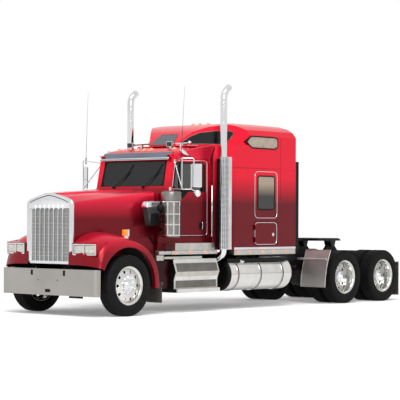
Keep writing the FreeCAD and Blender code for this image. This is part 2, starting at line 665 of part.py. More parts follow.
def grille_bars():
    """Backing mesh, then upright bars with pointed tips on the header."""
    mesh = block(-GRILLE_OPENING_HALF, GRILLE_OPENING_HALF, -722, -716, GRILLE_BASE_Z + 45,
                 GRILLE_OPENING_TOP_Z)
    grille = mesh
    for i in range(GRILLE_BARS):
        x = (i - (GRILLE_BARS - 1) / 2) * GRILLE_BAR_PITCH
        bar = block(x - 9, x + 9, GRILLE_FACE_Y - 6, -716, GRILLE_BASE_Z + 45, GRILLE_OPENING_TOP_Z)
        tip = slab_y([(x - 9, GRILLE_OPENING_TOP_Z), (x - 14, GRILLE_OPENING_TOP_Z + 20),
                      (x, GRILLE_OPENING_TOP_Z + 90),
                      (x + 14, GRILLE_OPENING_TOP_Z + 20), (x + 9, GRILLE_OPENING_TOP_Z)],
                     GRILLE_FACE_Y - 6, GRILLE_FACE_Y)
        grille = grille.fuse(bar).fuse(tip)
    return grille.removeSplitter()


def lamp_plan():
    return [(612, -800), (1078, -800), (1078, -600), (612, -600)]


def front_lamps():
    """Headlamp housings set in the fenders' noses and the turn lamps on top of them."""
    face = [(612, -738), (1078, -695), (1078, -600), (612, -600)]
    lamp = slab_z(face, LAMP_BASE_Z, LAMP_TOP_Z)
    turn = block(1010, 1075, 0, 130, 1200, 1470).cut(fender_volume(0, FENDER_INNER_X))
    return both(Part.makeCompound([lamp, turn]))


# Cab

def cab_half_at(y):
    share = (y - CAB_FRONT_Y) / (CAB_REAR_Y - CAB_FRONT_Y)
    return CAB_FRONT_HALF + share * (CAB_REAR_HALF - CAB_FRONT_HALF)


def cab_side_profile(inset):
    return [(CAB_FRONT_Y + inset, CAB_FLOOR_Z + inset), (CAB_FRONT_Y + inset, 2120 - inset),
            (WINDSCREEN_BASE_Y + inset, WINDSCREEN_BASE_Z - inset),
            (WINDSCREEN_TOP_Y + inset, WINDSCREEN_TOP_Z),
            (1480 + inset, 2850 - inset)] + [(y, z - inset) for y, z in ROOF_LINE] + [
            (CAB_REAR_Y - inset, ROOF_REAR_Z - inset), (CAB_REAR_Y - inset, CAB_FLOOR_Z + inset)]


def roof_z(y):
    """Height of the cab roof's centre at a distance behind the front axle."""
    line = list(ROOF_LINE) + [(CAB_REAR_Y, ROOF_REAR_Z)]
    for (y0, z0), (y1, z1) in zip(line, line[1:]):
        if y <= y1:
            return z0 + (z1 - z0) * (y - y0) / (y1 - y0)
    return ROOF_REAR_Z


def cab_volume(inset):
    """Side profile, plan taper and rounded roof edges, each drawn in by the same wall."""
    reach = CAB_REAR_HALF + 110
    body = slab_x(cab_side_profile(inset), -reach, reach)
    plan_half = [(cab_half_at(900) - inset, 900), (cab_half_at(2500) - inset, 2500)]
    plan = plan_half + [(-x, y) for x, y in reversed(plan_half)]
    body = body.common(slab_z(plan, 900, 3200))
    section = mirror_outline([(reach - inset, 900), (reach - inset, CAB_BELT_Z),
                              (ROOF_HALF + 60 - inset, 2780),
                              (ROOF_HALF - inset, 2880 - inset), (ROOF_HALF - 150, 2960 - inset),
                              (300, 3005 - inset)])
    return body.common(slab_y(section, 900, 2500))


def door_outline(gap):
    return [(DOOR_FRONT_Y - gap, DOOR_BASE_Z - gap), (DOOR_FRONT_Y - gap, 2120 + gap),
            (1405 - gap, 2240 + gap),
            (1465 - gap, 2690 + gap), (1500 - gap, DOOR_TOP_Z + gap), (2170, DOOR_TOP_Z + gap),
            (2262 + gap, 2640 + gap / 2),
            (DOOR_REAR_Y + gap, 2500), (DOOR_REAR_Y + gap, DOOR_BASE_Z - gap)]


def windscreen_outline():
    return [(-790, 2255), (790, 2255), (775, 2715), (-775, 2715)]


def cab_shell():
    shell = cab_volume(0).cut(cab_volume(CAB_WALL))
    shell = shell.cut(slab_x(door_outline(DOOR_GAP), -CAB_REAR_HALF - 110, CAB_REAR_HALF + 110))
    shell = shell.cut(slab_y(windscreen_outline(), 1200, 1520))
    shell = shell.cut(slab_y(DOORWAY, CAB_REAR_Y - CAB_WALL - 5, CAB_REAR_Y + 5))
    wall = cab_volume(0)
    for z in DOOR_HINGES:
        lugs = hinge_lugs(cab_half_at(DOOR_FRONT_Y) + HINGE_OFFSET, DOOR_FRONT_Y - DOOR_GAP / 2, z, wall)
        shell = shell.fuse(both(lugs))
    return shell


def cab_boot():
    """Rubber frame that closes the gap between the cab's and the sleeper's doorways."""
    rim = [(-650, 1200), (650, 1200), (650, 2750), (-650, 2750)]
    return slab_y(rim, CAB_REAR_Y, SLEEPER_FRONT_Y).cut(slab_y(DOORWAY, CAB_REAR_Y - 1, SLEEPER_FRONT_Y + 1))


def windscreen():
    y0, y1 = WINDSCREEN_BASE_Y + 12, WINDSCREEN_TOP_Y + 12
    body = slab_x([(y0, WINDSCREEN_BASE_Z), (y1, WINDSCREEN_TOP_Z), (y1 + GLASS, WINDSCREEN_TOP_Z),
                   (y0 + GLASS, WINDSCREEN_BASE_Z)], -900, 900)
    return body.common(slab_y(windscreen_outline(), 1200, 1520))


def door_window():
    return [(1450, 2260), (1505, 2665), (2130, 2675), (2185, 2620), (2190, 2190), (1520, 2190)]


def door_shell(side):
    """The whole door: outer skin to inner trim, with its window cut."""
    body = cab_volume(0).cut(cab_volume(CAB_WALL))
    x0, x1 = CAB_FRONT_HALF - 200, CAB_REAR_HALF + 110
    door = body.common(slab_x(door_outline(0), x0, x1))
    door = door.cut(slab_x(door_window(), x0, x1))
    wall = cab_volume(0)
    for z in DOOR_HINGES:
        door = door.fuse(hinge_leaf(cab_half_at(DOOR_FRONT_Y) + HINGE_OFFSET, DOOR_FRONT_Y - DOOR_GAP / 2, z,
                                    wall))
    return on_side(door, side)


def door_glass(side):
    pane = cab_volume(22).cut(cab_volume(22 + GLASS)).common(slab_x(door_window(), CAB_FRONT_HALF - 200,
                                                                    CAB_REAR_HALF + 110))
    return on_side(pane, side)


def mirror(side):
    """A tube from the door's top out, down and back to the door, with the flat head on it."""
    slope = (CAB_REAR_HALF - CAB_FRONT_HALF) / (CAB_REAR_Y - CAB_FRONT_Y)
    ends = []
    for y, z in ((1500, 2700), (1425, 2205)):
        x = cab_half_at(y)
        ends.append([(x, y, z), (x + 50, y - 50 * slope, z)])
    path = ends[0] + [(1333, 1440, 2740), (1333, 1440, 2205)] + ends[1][::-1]
    tube = pipe(path, 12)
    head = block(-100, 100, -38, 0, 2225, 2650)
    head.rotate(vec(0, 0, 0), vec(0, 0, 1), 25)
    head.translate(vec(1385, 1545, 0))
    stem = block(1322, 1344, 1440, 1515, 2400, 2440)
    return on_side(tube.fuse(stem).fuse(head), side)


def seats():
    """Two cab seats on their bases and the bunk in the sleeper, each a plain cushion block."""
    pieces = []
    for x in (-480, 480):
        base = block(x - 200, x + 200, 1750, 2150, CAB_FLOOR_Z + CAB_WALL, 1560)
        cushion = block(x - 250, x + 250, 1680, 2180, 1560, 1700)
        back = slab_x([(2080, 1700), (2200, 1700), (2290, 2450), (2200, 2450)], x - 240, x + 240)
        pieces.append(base.fuse(cushion).fuse(back))
    bunk_half, bunk_y = SLEEPER_HALF - 120, SLEEPER_REAR_Y - 900
    bunk = block(-bunk_half, bunk_half, bunk_y, SLEEPER_REAR_Y - SLEEPER_WALL - 10,
                 SLEEPER_BASE_Z + SLEEPER_WALL, 1780)
    pieces.append(bunk)
    return Part.makeCompound(pieces)


def dashboard():
    front = CAB_FRONT_Y + CAB_WALL
    dash = slab_x([(front, 1700), (front, 2050), (1330, 2140), (1520, 2080), (1500, 1900), (1380, 1700)],
                  -780, 780)
    column = pipe([(480, 1440, 1930), (480, 1622, 2021)], 26)
    rim = faceted_ring([(-14, 200), (-14, 228), (14, 228), (14, 200)], 0, 0, 0, 18)
    spokes = block(-12, 12, -202, 202, -18, 18).fuse(block(-12, 12, -40, 40, -60, 60))
    wheel = rim.fuse(spokes)
    wheel.rotate(vec(0, 0, 0), vec(0, 0, 1), 90)
    wheel.rotate(vec(0, 0, 0), vec(1, 0, 0), 27)
    wheel.translate(vec(480, 1622, 2021))
    return dash.fuse(column).fuse(wheel)


def sun_visor():
    """Polished drop visor over the windscreen."""
    side = [(1345, 2745), (1462, 2868), (1505, 2880), (1515, 2860), (1480, 2845), (1360, 2737)]
    return slab_x(side, -850, 850).cut(cab_volume(0))


def roof_horns():
    """Two square-mouthed horns on a foot each."""
    y0, y1 = 1766, 2290
    mouth = slab_y([(-54, -50), (54, -50), (54, 50), (-54, 50)], 0, 26)
    mouth.translate(vec(494, y0, 3040))
    throat = pipe([(494, y0 + 20, 3040), (494, y1, 3085)], 22)
    foot = slab_x([(2080, roof_z(2080)), (2120, roof_z(2120)), (2120, 3062), (2080, 3056)], 482, 506)
    front_foot = slab_x([(1770, roof_z(1770)), (1790, roof_z(1790)), (1790, 2992), (1770, 2992)], 470, 518)
    return both(mouth.fuse(throat).fuse(foot).fuse(front_foot))


def marker_lamps():
    """Amber lamps across the cab roof."""
    lamps = []
    for x, y in ((-690, 1650), (-170, 1605), (0, 1600), (170, 1605), (690, 1650)):
        lamps.append(slab_x([(y, roof_z(y)), (y + 80, roof_z(y + 80)), (y + 70, roof_z(y) + 42),
                             (y + 12, roof_z(y) + 40)], x - 42, x + 42))
    return Part.makeCompound(lamps)


def grab_bars():
    """Upright rail behind each door, on two feet."""
    x0, y = cab_half_at(2330 + 14), 2330
    x1 = CAB_REAR_HALF + 55
    return both(pipe([(x0, y, 1365), (x1, y, 1365), (x1, y, 2270), (x0, y, 2270)], 13))


# Sleeper

def sleeper_plan(inset):
    return [(SLEEPER_HALF - 260 - inset, SLEEPER_FRONT_Y + inset), (SLEEPER_HALF - inset, 2770 + inset * 0.4),
            (SLEEPER_HALF - inset, SLEEPER_REAR_Y - inset)]


def sleeper_roof(inset):
    return [(2085 + inset, 3010 + inset), (2085 + inset, 3025 + inset),
            (2375 + inset * 0.7, 3280 - inset * 0.7),
            (2600, 3375 - inset), (3055, 3455 - inset), (3640, 3488 - inset),
            (SLEEPER_REAR_Y - 230, 3500 - inset),
            (SLEEPER_REAR_Y - 100 - inset, 3440 - inset), (SLEEPER_REAR_Y - inset, 3240),
            (SLEEPER_REAR_Y - inset, 3010 + inset)]


def sleeper_volume(inset):
    lower_half = sleeper_plan(inset)
    lower = slab_z(lower_half + [(-x, y) for x, y in reversed(lower_half)], SLEEPER_BASE_Z + inset,
                   3040 - inset)
    upper_half = [(290 - inset * 0.6, 2080 + inset), (SLEEPER_HALF - 200 - inset, 2950 + inset * 0.5),
                  (SLEEPER_HALF - inset, 3250),
                  (SLEEPER_HALF - inset, SLEEPER_REAR_Y - inset)]
    upper = slab_z(upper_half + [(-x, y) for x, y in reversed(upper_half)], 3012 + inset, 3600)
    crown = mirror_outline([(SLEEPER_HALF + 1, 3000), (SLEEPER_HALF - inset * 0.8, 3225),
                            (SLEEPER_HALF - 50 - inset * 0.7, 3330),
                            (SLEEPER_HALF - 160 - inset * 0.4, 3400 - inset * 0.7),
                            (SLEEPER_HALF - 350, 3450 - inset),
                            (400, 3500 - inset)])
    roof = slab_x(sleeper_roof(inset), -SLEEPER_HALF - 100, SLEEPER_HALF + 100)
    upper = upper.common(roof).common(slab_y(crown, 1600, SLEEPER_REAR_Y + 80))
    return lower.fuse(upper)


def baggage_outline(gap):
    return [(BAGGAGE_FRONT_Y - gap, BAGGAGE_BASE_Z - gap), (BAGGAGE_REAR_Y + gap, BAGGAGE_BASE_Z - gap),
            (BAGGAGE_REAR_Y + gap, BAGGAGE_TOP_Z + gap), (BAGGAGE_FRONT_Y - gap, BAGGAGE_TOP_Z + gap)]


def lower_window():
    return [(3466, 1855), (3961, 1855), (3961, 2481), (3466, 2481)]


def upper_window():
    return [(3129, 3103), (3282, 3001), (3969, 2996), (4054, 3035), (4056, 3196), (3967, 3215), (3250, 3215)]


def sleeper_shell():
    shell = sleeper_volume(0).cut(sleeper_volume(SLEEPER_WALL))
    for side in (1, -1):
        x0, x1 = (SLEEPER_HALF - 200, SLEEPER_HALF + 100) if side > 0 else (-SLEEPER_HALF - 100,
                                                                            200 - SLEEPER_HALF)
        shell = shell.cut(slab_x(baggage_outline(DOOR_GAP), x0, x1))
        shell = shell.cut(slab_x(lower_window(), x0, x1)).cut(slab_x(upper_window(), x0, x1))
    shell = shell.cut(slab_y(DOORWAY, SLEEPER_FRONT_Y - 5, SLEEPER_FRONT_Y + SLEEPER_WALL + 5))
    inner_half = [(SLEEPER_HALF - 500, SLEEPER_FRONT_Y + 300), (SLEEPER_HALF - 100, 3300),
                  (SLEEPER_HALF - 100, SLEEPER_REAR_Y - 120)]
    hatch = slab_z(inner_half + [(-x, y) for x, y in reversed(inner_half)], 2960, 3100)
    shell = shell.cut(hatch)
    wall = sleeper_volume(0)
    for z in BAGGAGE_HINGES:
        shell = shell.fuse(both(hinge_lugs(SLEEPER_HALF + HINGE_OFFSET, BAGGAGE_FRONT_Y - DOOR_GAP / 2, z,
                                           wall)))
    return shell


def window_panes():
    """Windscreen and the sleeper's side windows."""
    panes = [windscreen()]
    for outline in (lower_window(), upper_window()):
        for side in (1, -1):
            panes.append(on_side(slab_x(outline, SLEEPER_HALF - 24, SLEEPER_HALF - 24 + GLASS), side))
    return Part.makeCompound(panes)


def baggage_door(side):
    wall = sleeper_volume(0)
    door = wall.cut(sleeper_volume(SLEEPER_WALL)).common(slab_x(baggage_outline(0), SLEEPER_HALF - 100,
                                                                SLEEPER_HALF + 100))
    for z in BAGGAGE_HINGES:
        door = door.fuse(hinge_leaf(SLEEPER_HALF + HINGE_OFFSET, BAGGAGE_FRONT_Y - DOOR_GAP / 2, z, wall))
    return on_side(door, side)


def side_extenders():
    """Dark upright panels behind the sleeper's rear corners."""
    return both(block(SLEEPER_HALF - 40, SLEEPER_HALF - 4, SLEEPER_REAR_Y, SLEEPER_REAR_Y + 100, 1060, 2780))


# Tanks, steps, exhaust

def tank_profile():
    """Half length and radius of a tank from end to end, with a step in at each end."""
    half = (TANK_REAR_Y - TANK_FRONT_Y) / 2
    return [(-half, 0), (-half, TANK_R - 50), (-half + 30, TANK_R), (half - 30, TANK_R), (half, TANK_R - 50),
            (half, 0)]


def fuel_tank():
    return drum(tank_profile(), TANK_X, (TANK_FRONT_Y + TANK_REAR_Y) / 2, TANK_Z, 24)


def fuel_tanks():
    return both(fuel_tank())


def tank_brackets():
    """Cradles that hang each tank from its rail."""
    tank = fuel_tank()
    cradles = []
    front, rear = TANK_FRONT_Y + 260, TANK_REAR_Y - 310
    for y in (front, (front + rear) / 2, rear):
        outline = [(FRAME_WIDTH / 2, 700), (FRAME_WIDTH / 2, 1010), (520, 1010), (640, 900), (640, 500),
                   (760, 340),
                   (600, 340), (500, 480)]
        cradles.append(slab_y(outline, y - 35, y + 35).cut(tank))
    return both(Part.makeCompound(cradles))


def cab_steps():
    """Tool box between the rail and the side, with a tread at its foot and on its top."""
    inner = FRAME_WIDTH / 2
    section = [(inner, 360), (1170, 360), (1170, 425), (1105, 430), (1105, 600), (1155, 730), (1080, 950),
               (inner, 950)]
    return both(slab_y(section, 1245, 2425))


def side_skirts():
    """Polished lamp strips under the cab and the sleeper."""
    cab = block(CAB_REAR_HALF + 20, CAB_REAR_HALF + 175, 1110, 2350, 1040, 1105)
    box_x = CAB_REAR_HALF + 130
    plan = [(cab_half_at(1260), 1260), (box_x, 1260), (box_x, 2330), (cab_half_at(2330), 2330)]
    box = slab_z(plan, 1105, 1240)
    sleeper = block(SLEEPER_HALF - 120, SLEEPER_HALF - 4, 2790, SLEEPER_REAR_Y, 1010, SLEEPER_BASE_Z)
    return both(Part.makeCompound([cab.fuse(box), sleeper]))


def muffler():
    return pipe([(STACK_X, STACK_Y, 1150), (STACK_X, STACK_Y, 2780)], MUFFLER_R, 20)


def exhausts():
    """Cross pipe from below, upright muffler on two brackets, straight pipe and a raked tip."""
    foot = pipe([(FRAME_WIDTH / 2, STACK_Y, 880), (520, STACK_Y, 880), (820, STACK_Y, 900),
                 (STACK_X - 95, STACK_Y, 960),
                 (STACK_X, STACK_Y, 1070), (STACK_X, STACK_Y, 1150)], STACK_R, 10)
    top = pipe([(STACK_X, STACK_Y, 2780), (STACK_X, STACK_Y, 3935), (STACK_X, STACK_Y + 40, 4020),
                (STACK_X, STACK_Y + 135, STACK_TOP_Z - 46)], STACK_R, 14)
    exhaust = muffler().fuse(foot).fuse(top)
    wall = sleeper_volume(0)
    for z in (1300, 2600):
        exhaust = exhaust.fuse(block(STACK_X - 215, STACK_X, STACK_Y - 10, STACK_Y + 60, z, z + 50).cut(wall))
    return both(exhaust)


def heat_shields():
    """Curved guard round the outer half of each muffler, on two stand-offs."""
    plan = []
    for radius, order in ((SHIELD_R + 5, range(11)), (SHIELD_R, range(10, -1, -1))):
        for i in order:
            angle = math.pi * (i / 10 - 0.5)
            plan.append((STACK_X + 10 + radius * math.cos(angle), STACK_Y + radius * math.sin(angle)))
    guard = slab_z(plan, 1120, 2800)
    for z in (1300, 2600):
        guard = guard.fuse(block(STACK_X + 60, STACK_X + SHIELD_R + 8, STACK_Y - 15, STACK_Y + 15, z, z + 30))
    return both(guard.cut(muffler()))


def air_cleaners():
    """Upright canister on the cowl with its intake scoop ahead of it."""
    x, y = AIR_CLEANER_X, AIR_CLEANER_Y
    shape = pipe([(x, y, 1340), (x, y, 2165)], AIR_CLEANER_R, 20)
    scoop = slab_x([(650, 1880), (700, 1955), (900, 1975), (1000, 1975), (1000, 1640), (860, 1540),
                    (760, 1560),
                    (700, 1700)], 870, 1000)
    elbow = pipe([(950, 980, 1830), (x - 60, y, 1830)], 60, 12)
    shape = shape.fuse(scoop).fuse(elbow)
    for z in (1450, 2020):
        shape = shape.fuse(block(cab_half_at(y + 30), x - 100, y - 10, y + 30, z, z + 60))
    return both(shape)


def quarter_fenders():
    """Curved polished sheet ahead of each pair of drive tyres, on a cross tube."""
    axle_y = WHEELBASE - TANDEM_SPACING / 2
    curve = [(512, 1065), (592, 870), (647, 700), (682, 520), (692, 340)]
    outline = [(axle_y - ahead, z) for ahead, z in curve] + [(axle_y - ahead + 4, z) for ahead,
                                                             z in reversed(curve)]
    sheet = slab_x(outline, 590, REAR_WHEEL_OUTER_X - 1)
    tube = pipe([(FRAME_WIDTH / 2, axle_y - 592, 885), (1150, axle_y - 592, 885)], 22, 10)
    return both(sheet.fuse(tube))


def mud_flaps():
    """Front pair on frame brackets, rear pair on hangers behind the last tyres."""
    rail, hanger = FRAME_WIDTH / 2, REAR_Y - 10
    rear = block(560, 1160, hanger, REAR_Y, 105, 800).fuse(block(rail, 1160, hanger - 16, hanger, 760, 800))
    rear = rear.fuse(block(rail, rail + 60, FRAME_REAR_Y - 90, hanger, 760, 800))
    front = block(800, 1160, 866, 876, 200, 560).fuse(block(rail, 1160, 876, 906, 520, 560))
    front = front.fuse(block(rail, rail + 40, 876, 906, 560, 900))
    return both(Part.makeCompound([rear, front]))


def tail_lamps():
    """Lamps that stand on the rear flaps' hanger bars."""
    return both(block(560, 700, REAR_Y - 40, REAR_Y, 800, 890))


def main():
    os.makedirs("parts", exist_ok=True)
    wheels()
    single = (frame_rails, body_mounts, front_bumper, engine, driveline, radiator, front_axle,
              front_suspension, tie_rod,
              drive_axles, rear_suspension, fifth_wheel_base, fifth_wheel_plate, hood, grille_surround,
              grille_bars,
              front_lamps, cab_shell, cab_boot, seats, dashboard, sun_visor, roof_horns, marker_lamps,
              grab_bars,
              sleeper_shell, window_panes, side_extenders, fuel_tanks, tank_brackets, cab_steps, side_skirts,
              exhausts,
              heat_shields, air_cleaners, quarter_fenders, mud_flaps, tail_lamps)
    for maker in single:
        save(maker.__name__, maker())
    for name, side in SIDES:
        save("knuckle_" + name, knuckle(side))
        save("door_" + name, door_shell(side))
        save("door_glass_" + name, door_glass(side))
        save("mirror_" + name, mirror(side))
        save("baggage_door_" + name, baggage_door(side))


main()
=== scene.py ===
"""Looks of a long-nose semi truck tractor with a raised-roof sleeper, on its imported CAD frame.

Sizes are in metres. Points are written with Y counted from the front axle, as in the part's
source, and Form.piece() moves them to the row frame.
"""

import json
import logging
import math
from dataclasses import dataclass
from enum import Enum
from typing import Callable, Iterable, Sequence

import bmesh
import bpy
from mathutils import Matrix, Vector

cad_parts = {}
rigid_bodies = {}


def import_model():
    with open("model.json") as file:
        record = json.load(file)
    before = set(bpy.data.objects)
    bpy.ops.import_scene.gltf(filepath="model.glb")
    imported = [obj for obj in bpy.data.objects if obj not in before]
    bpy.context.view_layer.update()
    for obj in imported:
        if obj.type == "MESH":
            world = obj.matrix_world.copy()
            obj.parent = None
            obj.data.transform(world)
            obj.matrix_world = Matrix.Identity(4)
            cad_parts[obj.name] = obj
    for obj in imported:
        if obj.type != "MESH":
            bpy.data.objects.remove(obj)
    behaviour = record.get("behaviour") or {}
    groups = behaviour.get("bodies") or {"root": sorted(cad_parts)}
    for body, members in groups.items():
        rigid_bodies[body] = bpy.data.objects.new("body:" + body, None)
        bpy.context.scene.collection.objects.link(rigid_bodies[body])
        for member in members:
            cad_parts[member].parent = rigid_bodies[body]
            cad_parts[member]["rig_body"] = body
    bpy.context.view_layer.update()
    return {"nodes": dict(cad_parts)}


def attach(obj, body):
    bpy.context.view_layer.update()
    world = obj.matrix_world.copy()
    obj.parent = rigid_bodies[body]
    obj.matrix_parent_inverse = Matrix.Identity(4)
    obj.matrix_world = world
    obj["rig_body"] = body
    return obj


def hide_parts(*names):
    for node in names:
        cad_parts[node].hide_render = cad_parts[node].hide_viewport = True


LOG = logging.getLogger("tractor")
MID_Y = 3.7085
Point = Sequence[float]
Lift = Callable[[float, float, float], Point]


class Side(Enum):
    """Left is the driver's side, at positive X."""

    LEFT = "left"
    RIGHT = "right"


class Axis(Enum):
    """The axis that a turned form stands on."""

    X = "x"
    Y = "y"
    Z = "z"


SIDES = (Side.LEFT, Side.RIGHT)


# Materials


class Graph:
    """A material's node tree with short calls for the nodes used here."""

    def __init__(self, name: str) -> None:
        """Start an empty tree.

        Args:
            name: the material's name.
        """
        self.material = bpy.data.materials.new(name)
        self.material.use_nodes = True
        self.tree = self.material.node_tree
        self.shader = self.tree.nodes["Principled BSDF"]
        self.where = self.tree.nodes.new("ShaderNodeTexCoord").outputs["Object"]

    def node(self, kind: str, values: dict | None = None, **props: object) -> bpy.types.Node:
        """Add a node.

        Args:
            kind: the node's type name.
            values: socket name or index to a number, colour or another node's output.
            props: plain settings of the node.

        Returns:
            The new node.
        """
        made = self.tree.nodes.new(kind)
        for key, value in props.items():
            setattr(made, key, value)
        for key, value in (values or {}).items():
            self.feed(made.inputs[key], value)
        return made

    def feed(self, socket: bpy.types.NodeSocket, value: object) -> None:
        """Link an output to a socket, or set the socket's own value.

        Args:
            socket: the socket.
            value: another node's output, or a value.
        """
        if isinstance(value, bpy.types.NodeSocket):
            self.tree.links.new(value, socket)
        else:
            socket.default_value = value

    def noise(self, scale: float, detail: float = 4.0, stretch: Point = (1, 1, 1)) -> bpy.types.NodeSocket:
        """A noise value in object space.

        Args:
            scale: how many features in a metre.
            detail: octaves.
            stretch: scale of each axis before the noise.

        Returns:
            The noise factor's output.
        """
        place = self.node("ShaderNodeMapping", {"Vector": self.where, "Scale": stretch})
        return self.node("ShaderNodeTexNoise", {"Vector": place.outputs[0], "Scale": scale,
                                                "Detail": detail}).outputs[0]

    def spread(self, value: bpy.types.NodeSocket, low: float, high: float, a: float = 0.3,
               b: float = 0.7) -> bpy.types.NodeSocket:
        """Map a factor from a..b to low..high.

        Args:
            value: the factor.
            low: result at a.
            high: result at b.
            a: lower end of the factor.
            b: upper end of the factor.

        Returns:
            The mapped output.
        """
        values = {"Value": value, "From Min": a, "From Max": b, "To Min": low, "To Max": high}
        return self.node("ShaderNodeMapRange", values).outputs[0]

    def mix(self, factor: object, first: object, second: object) -> bpy.types.NodeSocket:
        """Mix two colours.

        Args:
            factor: share of the second colour.
            first: colour or output.
            second: colour or output.

        Returns:
            The mixed colour's output.
        """
        made = self.node("ShaderNodeMix", data_type="RGBA")
        for index, value in ((0, factor), (6, first), (7, second)):
            self.feed(made.inputs[index], value)
        return made.outputs[2]

    def math(self, operation: str, first: object, second: object = 0.0) -> bpy.types.NodeSocket:
        """A math node's output.

        Args:
            operation: the node's operation.
            first: number or output.
            second: number or output.

        Returns:
            The result's output.
        """
        return self.node("ShaderNodeMath", {0: first, 1: second}, operation=operation).outputs[0]

    def bump(self, height: bpy.types.NodeSocket, strength: float, distance: float) -> None:
        """Drive the shader's normal by a height.

        Args:
            height: the height's output.
            strength: 0 to 1.
            distance: height of a full step in metres.
        """
        made = self.node("ShaderNodeBump", {"Strength": strength, "Distance": distance, "Height": height})
        self.feed(self.shader.inputs["Normal"], made.outputs[0])

    def surface(self, **values: object) -> None:
        """Set the shader's sockets; underscores stand for spaces."""
        for key, value in values.items():
            self.feed(self.shader.inputs[key.replace("_", " ")], value)


def linear(code: str) -> tuple[float, float, float, float]:
    """A colour written as RRGGBB, in linear light.

    Args:
        code: six hexadecimal digits.

    Returns:
        Red, green, blue and alpha.
    """
    parts = [int(code[i : i + 2], 16) / 255 for i in (0, 2, 4)]
    red, green, blue = [p / 12.92 if p <= 0.04045 else ((p + 0.055) / 1.055) ** 2.4 for p in parts]
    return red, green, blue, 1.0


@dataclass(frozen=True)
class Finish:
    """A surface with a colour that varies a little, a grain and a gloss that wears.

    The subclasses add what their own surface needs.
    """

    name: str
    slot: str
    colour: str
    dark: str
    rough: float = 0.4
    metal: float = 0.0
    grain: float = 60.0
    height: float = 0.0004
    stretch: Point = (1, 1, 1)
    coat: float = 0.0
    gloss: float = 0.5

    def material(self) -> bpy.types.Material:
        """The finish's one material, made on first use."""
        return bpy.data.materials.get(self.name) or self.build()

    def build(self) -> bpy.types.Material:
        """Make the node tree of the finish.

        Returns:
            The material.
        """
        graph = Graph(self.name)
        coarse = graph.noise(self.grain * 0.08, 5)
        fine = graph.noise(self.grain, 3, self.stretch)
        graph.surface(
            Base_Color=graph.mix(graph.spread(coarse, 0, 1), linear(self.dark), linear(self.colour)),
            Roughness=graph.spread(fine, max(self.rough - 0.07, 0.02), self.rough + 0.07),
            Metallic=self.metal, Specular_IOR_Level=self.gloss, Coat_Weight=self.coat, Coat_Roughness=0.05,
        )
        graph.bump(fine, 0.5, self.height)
        return graph.material


@dataclass(frozen=True)
class CandyPaint(Finish):
    """Clear-coated candy paint with fine flakes, darker below and brighter above a height; on the body paints
    this is painted shade below and a painted highlight above.
    """

    glow: str = "F0405C"
    low: float = 1.95
    high: float = 2.45
    flakes: float = 0.10

    def build(self) -> bpy.types.Material:
        """Make the paint's node tree.

        Returns:
            The material.
        """
        graph = Graph(self.name)
        height = graph.node("ShaderNodeSeparateXYZ", {0: graph.where}).outputs[2]
        # Darker below low and brighter above high; on the body paints, painted shade and painted highlight.
        rise = graph.spread(height, 0.0, 1.0, self.low, self.high)
        body = graph.mix(rise, linear(self.dark), linear(self.colour))
        flake = graph.node("ShaderNodeTexVoronoi", {"Vector": graph.where, "Scale": 700.0}).outputs["Color"]
        sparkle = graph.math("MULTIPLY", graph.node("ShaderNodeSeparateColor", {0: flake}).outputs[0],
                             self.flakes)
        graph.surface(
            Base_Color=graph.mix(sparkle, body, linear(self.glow)),
            Roughness=graph.spread(graph.noise(60.0), self.rough - 0.02, self.rough + 0.02),
            Metallic=self.metal, Coat_Weight=self.coat, Coat_Roughness=0.03, Specular_IOR_Level=0.2,
        )
        return graph.material


@dataclass(frozen=True)
class Perforated(Finish):
    """Bright sheet with rows of punched holes that look dark."""

    pitch: float = 0.022
    hole: float = 0.35

    def build(self) -> bpy.types.Material:
        """Make the punched sheet's node tree.

        Returns:
            The material.
        """
        graph = Graph(self.name)
        parts = graph.node("ShaderNodeSeparateXYZ", {0: graph.where}).outputs
        waves = [graph.math("SINE", graph.math("MULTIPLY", parts[i], math.pi / self.pitch)) for i in (1, 2)]
        dots = graph.math("ABSOLUTE", graph.math("MULTIPLY", waves[0], waves[1]))
        open_ = graph.math("GREATER_THAN", dots, self.hole)
        graph.surface(
            Base_Color=graph.mix(open_, linear(self.colour), linear(self.dark)),
            Metallic=graph.math("SUBTRACT", 1.0, open_),
            Roughness=graph.spread(graph.noise(self.grain), self.rough - 0.04, self.rough + 0.08),
        )
        graph.bump(graph.math("SUBTRACT", 1.0, dots), 0.6, self.height)
        return graph.material


@dataclass(frozen=True)
class Pane(Finish):
    """Tinted window glass with a faint film of dust."""

    def build(self) -> bpy.types.Material:
        """Make the glass's node tree.

        Returns:
            The material.
        """
        graph = Graph(self.name)
        film = graph.noise(4.0)
        graph.surface(
            Base_Color=graph.mix(film, linear(self.colour), linear(self.dark)),
            Roughness=graph.spread(film, 0.0, 0.04), Transmission_Weight=0.92, IOR=1.45, Coat_Weight=1.0,
            Coat_Roughness=0.02,
        )
        return graph.material


@dataclass(frozen=True)
class Lens(Finish):
    """Moulded lamp lens with fine ribs and some glow of its own colour."""

    ribs: float = 160.0

    def build(self) -> bpy.types.Material:
        """Make the lens's node tree.

        Returns:
            The material.
        """
        graph = Graph(self.name)
        ribs = graph.node("ShaderNodeTexWave", {"Vector": graph.where, "Scale": self.ribs,
                                                "Distortion": 0.0}).outputs["Fac"]
        tint = graph.mix(graph.spread(graph.noise(20.0), 0.0, 1.0), linear(self.colour), linear(self.dark))
        graph.surface(
            Base_Color=tint, Roughness=self.rough, Transmission_Weight=0.25, Coat_Weight=1.0,
            Coat_Roughness=0.04, Emission_Color=linear(self.colour), Emission_Strength=0.35,
        )
        graph.bump(ribs, 0.5, self.height)
        return graph.material
